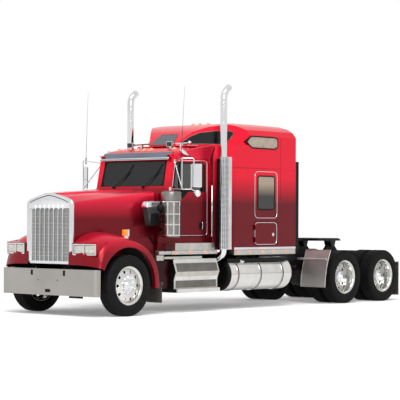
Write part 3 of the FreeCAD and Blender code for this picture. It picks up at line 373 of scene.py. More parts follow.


# Body paints: copies of one red, each darker below and brighter above heights set for its parts, a painted
# shade and painted highlight of how the light falls on them.
PAINT = CandyPaint("red_paint_shaded_by_height", "paint", "E4102F", "58000A", rough=0.3, metal=0.55, coat=0.14)
HOOD_SHADED_PAINT = CandyPaint("hood_paint_shaded_by_height", "paint", "E4203F", "5A000B", rough=0.3, metal=0.55, coat=0.14, low=1.66,
                        high=2.08)
FENDER_SHADED_PAINT = CandyPaint("fender_paint_shaded_by_height", "paint", "D01C37", "74000F", rough=0.3, metal=0.55, coat=0.14,
                          low=1.06, high=1.38)
DARK_PAINT = CandyPaint("shaded_paint", "paint", "480209", "2A0106", rough=0.34, metal=0.5, coat=0.08,
                        flakes=0.0)
CHROME = Finish("bright_chrome", "polished", "E2E3E4", "CDCFD1", rough=0.10, metal=1.0, grain=14, height=0.0)
ALLOY = Finish("polished_alloy", "alloy", "D8D7D4", "C4C3C0", rough=0.2, metal=1.0, grain=40, height=0.0)
BRUSHED = Finish("brushed_alloy", "alloy", "C3C0BB", "B0ADA8", rough=0.36, metal=1.0, grain=90, height=0.0,
                 stretch=(1, 0.03, 1))
SATIN = Finish("satin_sheet", "alloy", "CBC9C6", "B9B7B5", rough=0.42, metal=0.9, grain=50, height=0.0)
STEEL = Finish("shaded_steel", "alloy", "77736F", "625F5B", rough=0.4, metal=0.9, grain=70, height=0.0001)
CANISTER = Finish("canister_steel", "alloy", "8E8C88", "6E6C69", rough=0.3, metal=1.0, grain=60, height=0.0,
                  stretch=(1, 1, 0.05))
VISOR = Finish("visor_steel", "polished", "767E8C", "666D7A", rough=0.22, metal=1.0, grain=20, height=0.0)
SMOKE = Finish("smoke_plastic", "dash_plastic", "3E3F40", "2C2D2E", rough=0.35, grain=120, height=0.0001,
               gloss=0.3)
BUMPER = Finish("bumper_steel", "bumper_metal", "A8A5A1", "98958F", rough=0.34, metal=0.9, grain=12,
                height=0.0)
BLACK = Finish("black_enamel", "black_metal", "141415", "0A0A0A", rough=0.42, metal=0.2, grain=90, gloss=0.15)
CAST = Finish("cast_iron", "cast", "3A3A39", "1F1F1F", rough=0.62, metal=0.55, grain=240, height=0.0008)
GREASE = Finish("greased_plate", "black_metal", "2A2926", "121110", rough=0.38, metal=0.7, grain=35,
                height=0.0006)
TYRE = Finish("tyre_rubber", "tyre", "161616", "0D0D0D", rough=0.72, grain=220, height=0.0004, gloss=0.12)
RUBBER = Finish("black_rubber", "rubber", "121213", "090909", rough=0.6, grain=150, height=0.0003, gloss=0.15)
DUSTY = Finish("flap_rubber", "rubber", "4E4945", "3A3633", rough=0.75, grain=50, height=0.0006)
VINYL = Finish("blind_vinyl", "trim", "B0A090", "9C8D7E", rough=0.45, grain=90, height=0.0, coat=0.3)
BLIND = CandyPaint("half_blind", "trim", "A3917F", "262625", rough=0.3, coat=0.5, low=2.10, high=2.34,
                   flakes=0.0)
LEATHER = Finish("seat_leather", "trim", "4A4642", "2C2926", rough=0.55, grain=180, height=0.0009)
PLASTIC = Finish("dash_grain", "dash_plastic", "262627", "151516", rough=0.6, grain=320, height=0.0005)
GLASS = Pane("tinted_glass", "glass", "4E5656", "3A4040", rough=0.02)
# Opaque dark glass: the tint, with the dim inside behind the pane painted on as shade.
BLACK_GLASS = Finish("smoked_glass_and_shade", "glass", "141718", "0C0E0F", rough=0.09, grain=3, height=0.0, coat=0.1,
                     gloss=0.3)
BLUE_GLASS = Finish("screen_glass", "glass", "4A505C", "343842", rough=0.09, grain=3, height=0.0, coat=0.4)
AMBER = Lens("amber_lens", "amber", "FF9A1E", "D96A08", rough=0.2, height=0.0006)
RED_LENS = Lens("red_lens", "red_lens", "B3121C", "6D0810", rough=0.2, height=0.0006)
CLEAR = Lens("clear_lens", "polished", "C9C6BC", "8E8C86", rough=0.12, height=0.0012, ribs=120)
PUNCHED = Perforated("punched_guard", "polished", "D9DBDD", "151515", rough=0.16, height=0.001)
MESH = Perforated("grille_mesh", "alloy", "C4C4C2", "5C5B59", rough=0.35, height=0.0006, pitch=0.014,
                  hole=0.5)


# Mesh building


def rounded_path(path: Sequence[Point], radius: float, steps: int = 6) -> list[Vector]:
    """Round the corners of a run of points.

    Args:
        path: the corner points.
        radius: how far from a corner its curve starts.
        steps: spans in each corner.

    Returns:
        The points of the rounded run.
    """
    corners = [Vector(p) for p in path]
    run = [corners[0]]
    for a, b, c in zip(corners, corners[1:], corners[2:]):
        reach = min(radius, (a - b).length / 2, (c - b).length / 2)
        p, q = b + (a - b).normalized() * reach, b + (c - b).normalized() * reach
        for i in range(steps + 1):
            t = i / steps
            run.append(p * (1 - t) ** 2 + b * (2 * t * (1 - t)) + q * t * t)
    return run + [corners[-1]]


def rounded_loop(corners: Sequence[Point], radius: float, steps: int = 6) -> list[Vector]:
    """Round the corners of a closed outline.

    Args:
        corners: its corners.
        radius: how far from a corner its curve starts.
        steps: spans in each corner.

    Returns:
        The points of the loop, the first one not repeated.
    """
    middle = (Vector(corners[0]) + Vector(corners[-1])) / 2
    return rounded_path([middle, *corners, middle], radius, steps)[:-1]


def smooth_line(points: Sequence[Point], steps: int = 4) -> list[tuple[float, ...]]:
    """A Catmull-Rom curve through points of any dimension.

    Args:
        points: the points it passes.
        steps: spans between two points.

    Returns:
        The curve's points.
    """
    full = [points[0], *points, points[-1]]
    curve = []
    for p0, p1, p2, p3 in zip(full, full[1:], full[2:], full[3:]):
        for i in range(steps):
            t = i / steps
            curve.append(tuple(0.5 * (2 * b + (c - a) * t + (2 * a - 5 * b + 4 * c - d) * t * t
                                      + (3 * b - a - 3 * c + d) * t**3)
                               for a, b, c, d in zip(p0, p1, p2, p3)))
    return curve + [tuple(points[-1])]


def marker(place: Point, slope: float, spans: Sequence[Point]) -> list[list[Point]]:
    """Half round sections of a drop-shaped marker lamp on a roof.

    Args:
        place: its front end.
        slope: the roof's rise over its run.
        spans: (place along Y, half width, height) of each section.

    Returns:
        The sections' points.
    """
    x, y, z = place
    turns = [math.pi * k / 10 for k in range(11)]
    return [[(x + width * math.cos(a), y + along, z + slope * along + tall * math.sin(a)) for a in turns]
            for along, width, tall in spans]


class Form:
    """Points and faces of a mesh being built, with Y counted from the front axle."""

    def __init__(self) -> None:
        """Start with no geometry."""
        self.points: list[Vector] = []
        self.faces: list[tuple[int, ...]] = []

    def add(self, points: Iterable[Point], faces: Iterable[Sequence[int]]) -> "Form":
        """Append geometry.

        Args:
            points: new points.
            faces: faces that count from the first new point.

        Returns:
            This form.
        """
        start = len(self.points)
        self.points += [Vector(p) for p in points]
        self.faces += [tuple(start + i for i in face) for face in faces]
        return self

    def loft(self, rows: Sequence[Sequence[Point]], ring: bool = True, caps: bool = True) -> "Form":
        """Skin rows of equally many points.

        Args:
            rows: the sections in order.
            ring: whether each row closes on itself.
            caps: whether the first and last rows are filled.

        Returns:
            This form.
        """
        n = len(rows[0])
        points = [p for row in rows for p in row]
        faces = []
        for i in range(len(rows) - 1):
            for j in range(n if ring else n - 1):
                k = (j + 1) % n
                faces.append((i * n + j, i * n + k, (i + 1) * n + k, (i + 1) * n + j))
        if caps and ring:
            last = (len(rows) - 1) * n
            faces += [tuple(range(n)), tuple(range(last + n - 1, last - 1, -1))]
        return self.add(points, faces)

    def turned(self, profile: Sequence[Point], centre: Point, axis: Axis, segments: int = 48,
               closed: bool = False) -> "Form":
        """Turn a profile about an axis.

        Args:
            profile: (place along the axis, radius) pairs.
            centre: a point on the axis.
            axis: the axis it turns about.
            segments: facets round it.
            closed: whether the profile's ends join.

        Returns:
            This form.
        """
        rows = []
        for i in range(segments + 1):
            angle = 2 * math.pi * (i % segments) / segments
            c, s = math.cos(angle), math.sin(angle)
            row = []
            for along, r in profile:
                local = {Axis.X: (along, r * c, r * s), Axis.Y: (r * s, along, r * c),
                         Axis.Z: (r * c, r * s, along)}[axis]
                row.append(Vector(local) + Vector(centre))
            rows.append(row)
        return self.loft(rows, ring=closed, caps=False)

    def tube(self, path: Sequence[Point], radius: float, sides: int = 12, taper: float = 1.0) -> "Form":
        """A round bar along a path.

        Args:
            path: the points of its middle line.
            radius: its radius at the start.
            sides: facets round it.
            taper: end radius over start radius.

        Returns:
            This form.
        """
        line = [Vector(p) for p in path]
        heading = (line[1] - line[0]).normalized()
        side = heading.orthogonal().normalized()
        rows = []
        for i, here in enumerate(line):
            ahead = (line[min(i + 1, len(line) - 1)] - line[max(i - 1, 0)]).normalized()
            side = (side - ahead * side.dot(ahead)).normalized()
            other = ahead.cross(side)
            r = radius * (1 + (taper - 1) * i / (len(line) - 1))
            rows.append([here + (side * math.cos(a) + other * math.sin(a)) * r
                         for a in (2 * math.pi * k / sides for k in range(sides))])
        return self.loft(rows)

    def slab(self, outline: Sequence[Point], axis: Axis, low: float, high: float) -> "Form":
        """A flat outline given a thickness.

        Args:
            outline: its corners in the two other axes, in the order of the axes' names.
            axis: the axis of the thickness.
            low: lower face's place.
            high: upper face's place.

        Returns:
            This form.
        """
        def lift(a: float, b: float, c: float) -> Point:
            """A corner in space from its two flat sizes and its place on the axis."""
            return {Axis.X: (c, a, b), Axis.Y: (a, c, b), Axis.Z: (a, b, c)}[axis]

        return self.loft([[lift(a, b, c) for a, b in outline] for c in (low, high)])

    def band(self, outer: Sequence[Point], inner: Sequence[Point], lift: Lift, low: float,
             high: float) -> "Form":
        """A flat frame between two loops of equally many points.

        Args:
            outer: the outer loop's flat points.
            inner: the inner loop's flat points.
            lift: a point in space from its two flat sizes and its depth.
            low: depth of the back.
            high: depth of the front.

        Returns:
            This form.
        """
        loops = ((outer, low), (outer, high), (inner, high), (inner, low), (outer, low))
        return self.loft([[lift(a, b, c) for a, b in loop] for loop, c in loops], caps=False)

    def pane(self, loop: Sequence[Point], lift: Lift, low: float, high: float) -> "Form":
        """A flat plate inside a loop.

        Args:
            loop: its flat points.
            lift: a point in space from its two flat sizes and its depth.
            low: depth of the first face.
            high: depth of the second face.

        Returns:
            This form.
        """
        return self.loft([[lift(a, b, c) for a, b in loop] for c in (low, high)])

    def rim(self, loop: Sequence[Point], lift: Lift, depth: float, radius: float) -> "Form":
        """A round bar along a closed loop.

        Args:
            loop: its flat points.
            lift: a point in space from its two flat sizes and its depth.
            depth: depth of the bar's middle line.
            radius: the bar's radius.

        Returns:
            This form.
        """
        return self.tube([lift(a, b, depth) for a, b in [*loop, loop[0]]], radius, 8)

    def box(self, low: Point, high: Point) -> "Form":
        """A block between two corners."""
        outline = [(low[0], low[1]), (high[0], low[1]), (high[0], high[1]), (low[0], high[1])]
        return self.slab(outline, Axis.Z, low[2], high[2])

    def nuts(self, centre: Point, ring: float, count: int, radius: float, length: float) -> "Form":
        """Hexagon nuts in a circle about X, pointing along X.

        Args:
            centre: middle of the circle, at the nuts' seats.
            ring: the circle's radius.
            count: how many.
            radius: a nut's radius.
            length: how far a nut stands out, with its sign.

        Returns:
            This form.
        """
        for i in range(count):
            a = 2 * math.pi * (i + 0.5) / count
            seat = (centre[0], centre[1] + ring * math.cos(a), centre[2] + ring * math.sin(a))
            profile = [(0, 0), (0, radius), (length * 0.7, radius * 0.96), (length, radius * 0.55),
                       (length, 0)]
            self.turned(profile, seat, Axis.X, 6)
        return self

    def mirrored(self) -> "Form":
        """A new form, the mirror image in X."""
        return Form().add([(-p.x, p.y, p.z) for p in self.points], [face[::-1] for face in self.faces])

    def for_side(self, side: Side) -> "Form":
        """The form for the left as it is, or mirrored for the right."""
        return self if side is Side.LEFT else self.mirrored()

    def both(self) -> "Form":
        """The form together with its mirror image."""
        twin = self.mirrored()
        return Form().add(self.points, self.faces).add(twin.points, twin.faces)

    def moved(self, change: Matrix) -> "Form":
        """A new form, every point taken through a matrix."""
        return Form().add([change @ p for p in self.points], self.faces)

    def piece(self, name: str, finish: Finish, body: str = "chassis", bevel: float = 0.0,
              angle: float = 35.0) -> bpy.types.Object:
        """Make the scene's object from the form.

        Args:
            name: the object's name.
            finish: its finish.
            body: the CAD body it rides on.
            bevel: width of its rounded edges.
            angle: edges sharper than this stay sharp, in degrees.

        Returns:
            The object.
        """
        mesh = bpy.data.meshes.new(name)
        mesh.from_pydata([(p.x, p.y - MID_Y, p.z) for p in self.points], [], self.faces)
        return place(name, mesh, finish, body, bevel, angle)


def place(name: str, mesh: bpy.types.Mesh, finish: Finish, body: str, bevel: float,
          angle: float) -> bpy.types.Object:
    """Clean a mesh, round its edges and put it in the scene.

    Args:
        name: the object's name.
        mesh: its mesh in the row frame.
        finish: its finish.
        body: the CAD body it rides on.
        bevel: width of its rounded edges.
        angle: edges sharper than this stay sharp, in degrees.

    Returns:
        The object.
    """
    work = bmesh.new()
    work.from_mesh(mesh)
    bmesh.ops.remove_doubles(work, verts=work.verts, dist=2e-5)
    bmesh.ops.dissolve_degenerate(work, edges=work.edges, dist=1e-6)
    bmesh.ops.recalc_face_normals(work, faces=work.faces)
    if bevel:
        bmesh.ops.dissolve_limit(work, angle_limit=math.radians(0.5), verts=work.verts, edges=work.edges)
        sharp = math.radians(angle)
        edges = [e for e in work.edges if len(e.link_faces) == 2 and e.calc_face_angle(0) > sharp]
        bmesh.ops.bevel(work, geom=edges, offset=bevel, offset_type="OFFSET", segments=3, profile=0.5,
                        affect="EDGES", clamp_overlap=True, loop_slide=True)
        bmesh.ops.dissolve_degenerate(work, edges=work.edges, dist=1e-6)
    work.to_mesh(mesh)
    work.free()
    mesh.shade_smooth()
    mesh.set_sharp_from_angle(angle=math.radians(angle))
    mesh.materials.clear()
    mesh.materials.append(finish.material())
    made = bpy.data.objects.new(name, mesh)
    bpy.context.scene.collection.objects.link(made)
    if bevel:
        normals = made.modifiers.new("normals", "WEIGHTED_NORMAL")
        normals.keep_sharp = True
    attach(made, body)
    LOG.info("piece %s, %d faces, on %s", name, len(mesh.polygons), body)
    return made


def dressed(node: bpy.types.Object, finish: Finish, bevel: float = 0.0,
            angle: float = 35.0) -> bpy.types.Object:
    """Stand a copy of a CAD node with rounded edges and a finish in the node's place.

    Args:
        node: the CAD node.
        finish: its finish.
        bevel: width of its rounded edges.
        angle: edges sharper than this stay sharp, in degrees.

    Returns:
        The new object.
    """
    copy = place("dressed_" + node.name, node.data.copy(), finish, node["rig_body"], bevel, angle)
    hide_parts(node.name)
    return copy


def carried(node: bpy.types.Object, finish: Finish) -> None:
    """Give a CAD node that stays in view its finish."""
    node.data.materials.clear()
    node.data.materials.append(finish.material())


# Wheels


@dataclass
class WheelSet:
    """Tyres and rims of one wheel body, drawn for the left and mirrored for the right."""

    node_tyre: str
    node_rim: str
    body: str
    y: float
    side: Side
    radius: float = 0.525
    half: float = 0.138
    tread_half: float = 0.113
    bead: float = 0.311
    flange: float = 0.333
    rim_half: float = 0.118
    holes: int = 10
    hole_radius: float = 0.0265
    hole_circle: float = 0.243
    hub_edge: float = 0.195
    nut_radius: float = 0.0155
    lug_rows: int = 54
    lug_share: float = 0.36
    facets: int = 96

    def tyre_form(self, x: float, steer: bool) -> Form:
        """One tyre with ribs or lugs.

        Args:
            x: middle of the tyre.
            steer: ribbed for steering, else lugged.

        Returns:
            The tyre's form.
        """
        base = self.radius if steer else self.radius - 0.013
        crown = [(0.0, base)]
        if steer:
            for groove in (0.024, 0.067):
                crown += [(groove - 0.006, base), (groove - 0.004, base - 0.013),
                          (groove + 0.004, base - 0.013), (groove + 0.006, base - 0.0005)]
        wall = [(self.tread_half - 0.008, base - 0.003), (self.tread_half, base - 0.008), (0.121, 0.503),
                (0.124, 0.497), (0.123, 0.493), (0.130, 0.472), (0.1355, 0.445), (0.138, 0.420),
                (0.1375, 0.400), (0.135, 0.380), (0.1365, 0.377), (0.1365, 0.371), (0.132, 0.366),
                (0.124, 0.349), (0.121, 0.346), (0.112, 0.336), (0.107, 0.330), (0.104, self.bead)]
        outer = crown + wall
        profile = outer + [(-a, r) for a, r in reversed(outer[1:])]
        form = Form().turned(profile, (x, self.y, self.radius), Axis.X, self.facets, closed=True)
        if not steer:
            self.lugs(form, x)
        return form

    def lugs(self, form: Form, x: float) -> None:
        """Three rows of tread blocks with slanted sides.

        Args:
            form: the tyre's form, which gets them.
            x: middle of the tyre.
        """
        count = self.lug_rows
        low, high = self.radius - 0.016, self.radius - 0.0003
        for a0, a1, shift in ((-self.tread_half, -0.047, 0.0), (-0.037, 0.037, 0.5),
                              (0.047, self.tread_half, 0.0)):
            for i in range(count):
                middle = 2 * math.pi * (i + shift) / count
                wide = 2 * math.pi / count * self.lug_share
                rows = []
                for r, grow in ((low, 1.12), (high, 1.0)):
                    row = []
                    for a, t in ((a0, -1), (a1, -1), (a1, 1), (a0, 1)):
                        angle = middle + t * wide * grow + (0.012 if a == a1 else -0.012)
                        row.append((x + a, self.y + r * math.sin(angle), self.radius + r * math.cos(angle)))
                    rows.append(row)
                form.loft(rows)

    def holed_ring(self, form: Form, x: float, outer: float, face: Callable[[float], float],
                   depth: float) -> None:
        """A disc ring with round hand holes and the walls of the holes.

        Args:
            form: the rim's form, which gets it.
            x: middle of the tyre.
            outer: outer radius.
            face: place of the disc's face along X at a radius.
            depth: the disc's thickness, with the sign of its direction.
        """
        inner, pitch, hole = self.hub_edge, self.hole_circle, self.hole_radius
        sector = 2 * math.pi / self.holes
        for k in range(self.holes):
            middle = sector * (k + 0.5)
            border = [(inner + (outer - inner) * i / 9, -0.5) for i in range(9)]
            border += [(outer, -0.5 + i / 12) for i in range(12)]
            border += [(outer - (outer - inner) * i / 9, 0.5) for i in range(9)]
            border += [(inner, 0.5 - i / 12) for i in range(12)]
            rows: list[list[Point]] = [[], [], [], []]
            for r, share in border:
                angle = share * sector
                a, b = r * math.cos(angle) - pitch, r * math.sin(angle)
                reach = math.hypot(a, b)
                for row, (grow, sink) in zip(rows, ((None, 0), (1.12, 0), (1.0, depth * 0.15), (1.0, depth))):
                    u, v = (a, b) if grow is None else (a / reach * hole * grow, b / reach * hole * grow)
                    u += pitch
                    radius = math.hypot(u, v)
                    c, s = math.cos(middle), math.sin(middle)
                    row.append((x + face(radius) + sink, self.y + u * s + v * c, self.radius + u * c - v * s))
            form.loft(rows, caps=False)

    def front_rim(self, x: float) -> None:
        """The steered wheel's rim: convex disc, nuts, hub cover and the drum behind it.

        Args:
            x: middle of the tyre.
        """
        centre = (x, self.y, self.radius)
        half, flange = self.rim_half, self.flange
        back = [(-half, flange), (-half - 0.001, flange - 0.004), (-half + 0.004, flange - 0.014),
                (-0.104, self.bead - 0.007), (0.03, self.bead - 0.012), (0.052, 0.290)]
        lip = [(0.058, 0.288), (0.094, 0.292), (0.103, 0.303), (half - 0.002, flange - 0.010),
               (half, flange - 0.004), (half - 0.002, flange), (0.108, 0.326), (0.1045, self.bead),
               (-0.104, self.bead), (-half + 0.004, flange - 0.001)]

        def face(r: float) -> float:
            """Place of the convex disc's face at a radius."""
            return 0.090 - 0.030 * max((r - 0.17) / 0.118, 0) ** 1.6

        form = Form().turned(back + lip, centre, Axis.X, self.facets, closed=True)
        self.holed_ring(form, x, 0.288, face, -0.02)
        hub = [(face(self.hub_edge), self.hub_edge), (0.0895, 0.185), (0.090, 0.17), (0.090, 0.118),
               (0.087, 0.114), (0.087, 0.09)]
        form.turned(hub, centre, Axis.X, 64)
        form.for_side(self.side).piece("rim_" + self.body, ALLOY, self.body, angle=40)
        cap = [(0.086, 0.112), (0.094, 0.110), (0.097, 0.104), (0.099, 0.088), (0.112, 0.080), (0.116, 0.074),
               (0.118, 0.05), (0.124, 0.046), (0.126, 0.040), (0.129, 0.0)]
        cover = Form().turned(cap, centre, Axis.X, 48)
        cover.nuts((x + 0.089, self.y, self.radius), 0.143, 10, self.nut_radius, 0.033)
        cover.for_side(self.side).piece("hub_" + self.body, CHROME, self.body)
        drum = [(0.035, 0.10), (0.035, 0.200), (-0.105, 0.205), (-0.105, 0.188), (0.025, 0.186),
                (0.025, 0.10)]
        drum = Form().turned(drum, centre, Axis.X, 48, closed=True).for_side(self.side)
        drum.piece("drum_" + self.body, CAST, self.body)

    def rear_rim(self, x: float, gap: float) -> None:
        """The twin rims: deep outer dish with nuts and a conical cap, and the inner rim.

        Args:
            x: middle of the outer tyre.
            gap: distance to the inner tyre.
        """
        centre = (x, self.y, self.radius)
        half, flange = self.rim_half, self.flange
        dish = [(-0.098, 0.286), (0.085, 0.292), (0.100, 0.303), (half - 0.002, flange - 0.010),
                (half, flange - 0.004), (half - 0.002, flange), (0.108, 0.326), (0.1045, self.bead),
                (-0.104, self.bead), (-half + 0.004, flange), (-half, flange - 0.006), (-0.112, 0.300)]
        form = Form().turned(dish, centre, Axis.X, self.facets, closed=True)

        def face(r: float) -> float:
            """Place of the outer disc's face at a radius."""
            return -0.092 - 0.006 * max((r - 0.2) / 0.086, 0)

        self.holed_ring(form, x, 0.286, face, -0.018)
        web = [(face(self.hub_edge), self.hub_edge), (-0.092, 0.185), (-0.091, 0.12)]
        form.turned(web, centre, Axis.X, 64)
        form.for_side(self.side).piece("rim_outer_" + self.body, ALLOY, self.body, angle=40)
        hub = [(-0.091, 0.132), (-0.078, 0.130), (-0.066, 0.116), (-0.026, 0.112), (-0.022, 0.108),
               (-0.020, 0.100)]
        cone = [(-0.020, 0.106), (-0.006, 0.104), (-0.002, 0.096), (0.006, 0.070), (0.014, 0.058),
                (0.030, 0.050), (0.037, 0.044), (0.040, 0.030), (0.040, 0.0)]
        cover = Form().turned(hub, centre, Axis.X, 48).turned(cone, centre, Axis.X, 48)
        cover.nuts((x - 0.090, self.y, self.radius), 0.152, 10, self.nut_radius, 0.040)
        cover.nuts((x - 0.004, self.y, self.radius), 0.088, 8, 0.009, 0.012)
        cover.for_side(self.side).piece("hub_" + self.body, CHROME, self.body)
        inner = (x - gap, self.y, self.radius)
        hoop = [(-half, flange), (-half, flange - 0.008), (-0.104, 0.298), (0.1, 0.298),
                (half, flange - 0.008), (half, flange), (0.104, self.bead), (-0.104, self.bead)]
        twin = Form().turned(hoop, inner, Axis.X, 64, closed=True)
        twin.turned([(gap - 0.114, 0.298), (gap - 0.114, 0.10), (gap - 0.122, 0.10), (gap - 0.122, 0.298)],
                    inner, Axis.X, 64, closed=True)
        twin.turned([(-0.10, 0.10), (-0.10, 0.205), (0.19, 0.205), (0.19, 0.10)], inner, Axis.X, 48,
                    closed=True)
        twin.for_side(self.side).piece("rim_inner_" + self.body, CAST, self.body)

    def build(self, x: float, gap: float = 0.0) -> None:
        """Make the body's tyres and rims.

        Args:
            x: middle of the outer tyre.
            gap: distance to the inner tyre, 0 for a single wheel.
        """
        form = self.tyre_form(x, steer=not gap)
        if gap:
            twin = self.tyre_form(x - gap, steer=False)
            form.add(twin.points, twin.faces)
            self.rear_rim(x, gap)
        else:
            self.front_rim(x)
        tyre = form.for_side(self.side).piece("tyre_" + self.body, TYRE, self.body, angle=30)
        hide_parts(self.node_tyre, self.node_rim)


# Nose: bumper, grille, hood, fenders and lamps


@dataclass
class Grille:
    """Crowned polished shell, its bars with pointed tips and the mesh behind them."""

    half: float = 0.569
    base: float = 0.890
    crown: float = 2.114
    face: float = -0.752
    back: float = -0.700
    bars: int = 7
    pitch: float = 0.112

    def outline(self, inset: float) -> list[tuple[float, float]]:
        """The shell's outer edge, drawn in by an inset.

        Args:
            inset: how far in.

        Returns:
            (x, z) points from the left foot over the crown to the right foot.
        """
        h = self.half - inset
        knots = [(h, self.base), (h, 1.30), (h, 1.70), (h, 1.88), (h - 0.006, 1.935 - inset),
                 (h - 0.028, 1.972 - inset), (h - 0.070, 1.997 - inset), (h * 0.68, 2.034 - inset),
                 (h * 0.42, 2.071 - inset), (h * 0.2, 2.098 - inset), (0.0, self.crown - inset)]
        half = smooth_line(knots, 4)
        return half + [(-x, z) for x, z in reversed(half[:-1])]

    def opening(self, grow: float) -> list[tuple[float, float]]:
        """The opening's edge with as many points as the outline.

        Args:
            grow: how far beyond the mesh.

        Returns:
            (x, z) points.
        """
        h, top, low = 0.452 + grow, 1.820 + grow * 0.6, 0.935 - grow * 0.5
        made = []
        for x, z in self.outline(0.0):
            if abs(x) > 0.50:
                share = min((z - self.base) / (1.99 - self.base), 1.0)
                made.append((math.copysign(h, x), low + (top - low) * share))
            else:
                made.append((x / 0.50 * h, top))
        return made

    def build(self) -> None:
        """Make the shell, bars, tips and mesh."""
        rows = []
        for ring, y in ((self.outline(0.004), self.back), (self.outline(0.0), self.back - 0.006),
                        (self.outline(0.0), self.face + 0.022), (self.outline(0.005), self.face + 0.008),
                        (self.outline(0.016), self.face), (self.opening(0.046), self.face),
                        (self.opening(0.040), self.face + 0.004), (self.opening(0.0), -0.716)):
            rows.append([(x, y, z) for x, z in ring])
        shell = Form().loft(rows, ring=False)
        shell.box((-0.565, self.face + 0.006, self.base), (0.565, -0.706, 0.936))
        piece = shell.piece("grille_shell", CHROME, "hood", angle=50)
        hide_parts("grille_surround", "grille_bars")
        arch = [p for p in self.outline(0.042) if abs(p[0]) < 0.475 and p[1] > 1.9]
        under = [(x, z - 0.013) for x, z in reversed(arch)]
        line = Form().slab(arch + under, Axis.Y, self.face - 0.0012, self.face + 0.004)
        line.piece("grille_arch_line", BLACK, "hood")
        lugs = Form()
        for x0 in (0.4097, 0.4323):
            lugs.box((x0, -0.700, 0.862), (x0 + 0.013, -0.686, 0.945))
        for x0 in (0.4097, 0.4323):
            lugs.turned([(x0, 0), (x0, 0.0139), (x0 + 0.013, 0.0139), (x0 + 0.013, 0)], (0, -0.705, 0.870),
                        Axis.X, 24)
        lugs.both().piece("hood_pivots", BLACK, "hood")
        bars, tips = Form(), Form()
        for i in range(self.bars):
            x = (i - (self.bars - 1) / 2) * self.pitch
            section = [(-0.010, -0.718), (-0.010, -0.748), (-0.006, -0.756), (0.0, -0.7585), (0.006, -0.756),
                       (0.010, -0.748), (0.010, -0.718)]
            bars.slab([(x + a, b) for a, b in section], Axis.Z, 0.936, 1.826)
            spear = [(-0.0095, 1.822), (-0.017, 1.838), (-0.012, 1.868), (0.0, 1.912), (0.012, 1.868),
                     (0.017, 1.838), (0.0095, 1.822)]
            front = [(x + a * 0.25, -0.7632, 1.845 + (b - 1.845) * 0.5) for a, b in spear]
            tips.loft([[(x + a, -0.7495, b) for a, b in spear], front])
        bars.piece("grille_bars_bright", CHROME, "hood", bevel=0.001)
        tips.piece("grille_tips", CHROME, "hood", angle=30)
        Form().box((-0.456, -0.722, 0.936), (0.456, -0.717, 1.824)).piece("grille_screen", MESH, "hood")
        slats = Form()
        for i in range(14):
            z = 0.965 + i * 0.061
            slats.box((-0.454, -0.7235, z), (0.454, -0.7215, z + 0.003))
        slats.piece("grille_cross_wires", ALLOY, "hood")


